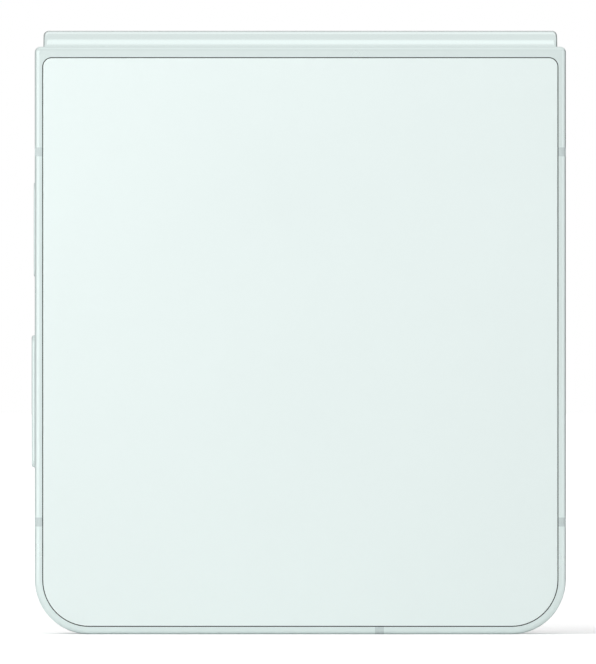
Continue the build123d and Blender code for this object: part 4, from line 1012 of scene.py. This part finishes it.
mesh_low, mesh_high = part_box("speaker_mesh")
mesh_columns = 48
mesh_sizes = dict(
    Columns=mesh_columns,
    Rows=8,
    Pitch=(mesh_high.x - mesh_low.x) / mesh_columns,
    Wire_Radius=(mesh_high.z - mesh_low.z) / 4,
)
tree, sizes, out = new_tree("woven_wires", **mesh_sizes)
round_wire = add_node(
    tree, "GeometryNodeCurvePrimitiveCircle", {"Resolution": 6, "Radius": sizes["Wire Radius"]}
)
woven = add_node(tree, "GeometryNodeJoinGeometry")
for across, along, quarter_turns in (("Rows", "Columns", 0), ("Columns", "Rows", 1)):
    # a wire rises and falls over one crossing wire after the other
    length = add_node(tree, "ShaderNodeMath", [sizes[along], sizes["Pitch"]], operation="MULTIPLY")
    half = add_node(tree, "ShaderNodeMath", [length.outputs[0], 0.5], operation="MULTIPLY")
    other_half = add_node(tree, "ShaderNodeMath", [length.outputs[0], -0.5], operation="MULTIPLY")
    end = add_node(tree, "ShaderNodeCombineXYZ", {"X": half.outputs[0]})
    start = add_node(tree, "ShaderNodeCombineXYZ", {"X": other_half.outputs[0]})
    straight = add_node(
        tree, "GeometryNodeCurvePrimitiveLine", {"Start": start.outputs[0], "End": end.outputs[0]}
    )
    samples = add_node(tree, "ShaderNodeMath", [sizes[along], 4, 1], operation="MULTIPLY_ADD")
    fine = add_node(
        tree,
        "GeometryNodeResampleCurve",
        {"Curve": straight.outputs["Curve"], "Count": samples.outputs[0]},
    )
    point = add_node(tree, "GeometryNodeInputPosition")
    parts = add_node(tree, "ShaderNodeSeparateXYZ", [point.outputs[0]])
    along_wire = parts.outputs["X"]
    turns = add_node(tree, "ShaderNodeMath", [along_wire, sizes["Pitch"]], operation="DIVIDE")
    angle = add_node(tree, "ShaderNodeMath", [turns.outputs[0], math.pi], operation="MULTIPLY")
    wave = add_node(tree, "ShaderNodeMath", [angle.outputs[0]], operation="SINE")
    radius = sizes["Wire Radius"]
    rise = add_node(tree, "ShaderNodeMath", [wave.outputs[0], radius], operation="MULTIPLY")
    lift = add_node(tree, "ShaderNodeCombineXYZ", {"Z": rise.outputs[0]})
    bent = add_node(
        tree,
        "GeometryNodeSetPosition",
        {"Geometry": fine.outputs["Curve"], "Offset": lift.outputs[0]},
    )
    strand = add_node(
        tree,
        "GeometryNodeCurveToMesh",
        {
            "Curve": bent.outputs["Geometry"],
            "Profile Curve": round_wire.outputs["Curve"],
            "Fill Caps": True,
        },
    )
    # the next wire lies a pitch on and is turned over, so that it dips where this one rises
    last = add_node(tree, "ShaderNodeMath", [sizes[across], -1], operation="ADD")
    width = add_node(
        tree, "ShaderNodeMath", [last.outputs[0], sizes["Pitch"]], operation="MULTIPLY"
    )
    first_row = add_node(tree, "ShaderNodeMath", [width.outputs[0], -0.5], operation="MULTIPLY")
    from_row = add_node(tree, "ShaderNodeCombineXYZ", {"Y": first_row.outputs[0]})
    step = add_node(tree, "ShaderNodeCombineXYZ", {"Y": sizes["Pitch"]})
    row_points = add_node(
        tree,
        "GeometryNodeMeshLine",
        {"Count": sizes[across], "Start Location": from_row.outputs[0], "Offset": step.outputs[0]},
    )
    row = add_node(tree, "GeometryNodeInputIndex")
    over = add_node(tree, "ShaderNodeMath", [row.outputs[0], math.pi], operation="MULTIPLY")
    turned = add_node(tree, "ShaderNodeCombineXYZ", {"X": over.outputs[0]})
    strands = add_node(
        tree,
        "GeometryNodeInstanceOnPoints",
        {
            "Points": row_points.outputs["Mesh"],
            "Instance": strand.outputs["Mesh"],
            "Rotation": turned.outputs[0],
        },
    )
    placed = add_node(
        tree,
        "GeometryNodeTransform",
        {
            "Geometry": strands.outputs["Instances"],
            "Rotation": (0, 0, math.radians(90) * quarter_turns),
            "Translation": (mesh_low + mesh_high) / 2,
        },
    )
    tree.links.new(placed.outputs["Geometry"], woven.inputs["Geometry"])
real = add_node(tree, "GeometryNodeRealizeInstances", {"Geometry": woven.outputs["Geometry"]})
add_node(
    tree,
    "GeometryNodeSetMaterial",
    {"Geometry": real.outputs["Geometry"], "Material": rolled_steel},
    out,
)
grow(
    "speaker_dust_mesh",
    tree,
    rolled_steel,
    "main_half",
    slot_of_node["speaker_mesh"],
    "speaker_mesh",
    **mesh_sizes,
)

# ------------------------------------------------------------------ studio
# The phone stands on a pale floor in a white room with soft lamps. A low grey screen behind it,
# which only gloss can see, draws the thin darker lines along the metal's edges.

stage_paint, tree, shader, place = new_finish("matt_stage_paint", "#E2E2E2", 0.0, 0.9)
roller = add_node(tree, "ShaderNodeTexNoise", {"Vector": place, "Scale": per_mm(3), "Detail": 2})
add_node(
    tree,
    "ShaderNodeBump",
    {"Height": roller.outputs["Fac"], "Distance": 0.02 * mm, "Strength": 0.1},
    shader["Normal"],
)
# Away from the phone the floor glows up to the white of the room, and less so in gloss.
away = add_node(tree, "ShaderNodeVectorMath", {"Vector": place}, operation="LENGTH")
glow = add_node(
    tree,
    "ShaderNodeMapRange",
    {"Value": away.outputs["Value"], "From Max": 0.6, "To Min": 0.3, "To Max": 0.65},
)
gloss_glow = add_node(
    tree,
    "ShaderNodeMapRange",
    {"Value": away.outputs["Value"], "From Max": 0.25, "To Min": 0.1, "To Max": 0.28},
)
sight = add_node(tree, "ShaderNodeLightPath")
straight_sight = add_node(
    tree,
    "ShaderNodeMath",
    [sight.outputs["Is Camera Ray"], sight.outputs["Is Transmission Ray"]],
    operation="MAXIMUM",
)
in_gloss = add_node(
    tree,
    "ShaderNodeMath",
    [sight.outputs["Is Glossy Ray"], gloss_glow.outputs["Result"]],
    operation="MULTIPLY",
)
add_node(
    tree,
    "ShaderNodeMath",
    [straight_sight.outputs[0], glow.outputs["Result"], in_gloss.outputs[0]],
    shader["Emission Strength"],
    operation="MULTIPLY_ADD",
)
shader["Emission Color"].default_value = dye("#FFFFFF")
floor_reach = 8
floor_mesh = bpy.data.meshes.new("floor")
corners = [
    (x * floor_reach, y * floor_reach, 0) for x, y in ((-1, -1), (1, -1), (1, 1), (-1, 1))
]
floor_mesh.from_pydata(corners, [], [(0, 1, 2, 3)])
floor = bpy.data.objects.new("floor", floor_mesh)
bpy.context.collection.objects.link(floor)
floor_mesh.materials.append(stage_paint)

room = bpy.data.worlds.new("white_room")
bpy.context.scene.world = room
room.use_nodes = True
tree = room.node_tree
backdrop = tree.nodes["Background"].inputs
backdrop["Color"].default_value = dye("#FFFFFF")
room_light, gloss_light = 0.6, 0.91
sight = add_node(tree, "ShaderNodeLightPath")
straight_sight = add_node(
    tree,
    "ShaderNodeMath",
    [sight.outputs["Is Camera Ray"], sight.outputs["Is Transmission Ray"]],
    operation="MAXIMUM",
)
indirect = add_node(
    tree,
    "ShaderNodeMapRange",
    {"Value": sight.outputs["Is Glossy Ray"], "To Min": room_light, "To Max": gloss_light},
)
add_node(
    tree,
    "ShaderNodeMapRange",
    {"Value": straight_sight.outputs[0], "To Min": indirect.outputs["Result"], "To Max": 1.0},
    backdrop["Strength"],
)

# Half the phone's height, at which lamps and lens are levelled.
middle_height = 42.8
phone_middle = Vector((0, 0, middle_height)) * mm


def soft_lamp(name, azimuth, elevation, distance, width, height, glow, sheen):
    """Area lamp aimed at the phone: azimuth 0 is in front and 90 to the right. Glow 1 is white. A
    sheen only shows in gloss, and the others only in matt colour."""
    turn, lift = math.radians(azimuth), math.radians(elevation)
    away = Vector(
        (math.sin(turn) * math.cos(lift), -math.cos(turn) * math.cos(lift), math.sin(lift))
    )
    light = bpy.data.lights.new(name, "AREA")
    light.shape, light.size, light.size_y = "RECTANGLE", width, height
    light.energy = glow * math.pi * width * height
    lamp = bpy.data.objects.new(name, light)
    bpy.context.collection.objects.link(lamp)
    lamp.location = phone_middle + away * distance
    lamp.rotation_euler = away.to_track_quat("Z", "Y").to_euler()
    lamp.visible_camera = False
    lamp.visible_glossy, lamp.visible_diffuse = sheen, not sheen


soft_lamp("key_softbox", -45, 42, 0.35, 0.35, 0.35, 2.0, False)
soft_lamp("fill_softbox", 45, 15, 1.4, 0.9, 0.9, 0.8, False)
soft_lamp("top_softbox", 0, 78, 1.1, 1.2, 0.4, 1.0, False)
soft_lamp("back_softbox", 205, 25, 1.4, 0.9, 0.9, 0.5, False)
soft_lamp("left_sheen", -42, 9, 0.5, 0.55, 0.4, 0.42, True)
soft_lamp("right_sheen", 45, 5, 1.2, 0.6, 0.9, 0.25, True)
soft_lamp("top_sheen", 0, 73, 1.0, 1.2, 0.4, 0.24, True)
soft_lamp("back_sheen", 180, 49, 1.2, 1.2, 0.3, 0.18, True)
soft_lamp("front_sheen", -3, 13, 0.36, 0.12, 0.12, 0.15, True)

# A low grey screen curves round the back, with a foot along the floor. Only gloss sees it.
screen_cloth, tree, shader, place = new_finish("grey_screen_cloth", "#B4B6B6", 0.0, 0.95)
# The grey is painted light on the left and dark on the right, a painted reflection that darkens
# the metal's right-hand edges more than its left.
across = add_node(tree, "ShaderNodeSeparateXYZ", {"Vector": place})
shade = add_node(
    tree, "ShaderNodeMapRange", {"Value": across.outputs["X"], "From Min": -1.0, "From Max": 1.0}
)
add_node(
    tree,
    "ShaderNodeMix",
    {"Factor": shade.outputs["Result"], "A": dye("#D8DADA"), "B": dye("#A6A8A8")},
    shader["Base Color"],
    data_type="RGBA",
)
weave = add_node(tree, "ShaderNodeTexNoise", {"Vector": place, "Scale": per_mm(2), "Detail": 2})
add_node(
    tree,
    "ShaderNodeBump",
    {"Height": weave.outputs["Fac"], "Distance": 0.1 * mm, "Strength": 0.2},
    shader["Normal"],
)
screen_distance, screen_height, screen_steps = 1.5, 0.75, 30
screen_from, screen_to = 102, 244
screen_bends = ((0.06, 0.001), (screen_distance, 0.001), (screen_distance, screen_height))
turns = []
for i in range(screen_steps + 1):
    turns.append(math.radians(screen_from + (screen_to - screen_from) * i / screen_steps))
points = []
for reach, z in screen_bends:
    points += [(reach * math.sin(a), -reach * math.cos(a), z) for a in turns]
count = len(turns)
quads = []
for start in (0, count):
    for i in range(start, start + screen_steps):
        quads.append((i, i + 1, count + i + 1, count + i))
screen_mesh = bpy.data.meshes.new("back_screen")
screen_mesh.from_pydata(points, [], quads)
screen = bpy.data.objects.new("back_screen", screen_mesh)
bpy.context.collection.objects.link(screen)
screen_mesh.materials.append(screen_cloth)
screen.visible_camera = screen.visible_diffuse = screen.visible_shadow = False
screen.visible_transmission = False

# A long lens far away, level with the phone's middle and square to its plain back.
picture_height = 94 * mm
picture_side = -0.33
camera_distance = 3.0
lens_data = bpy.data.cameras.new("camera")
lens_data.sensor_width = 36
lens_data.lens = lens_data.sensor_width * camera_distance / picture_height
camera = bpy.data.objects.new("camera", lens_data)
bpy.context.collection.objects.link(camera)
picture_middle = Vector((picture_side, -outer_face, middle_height)) * mm
camera.location = picture_middle - Vector((0, camera_distance, 0))
camera.rotation_euler = (math.radians(90), 0, 0)
lens_data.clip_end = 50
bpy.context.scene.camera = camera
bpy.context.scene.view_settings.view_transform = "Standard"
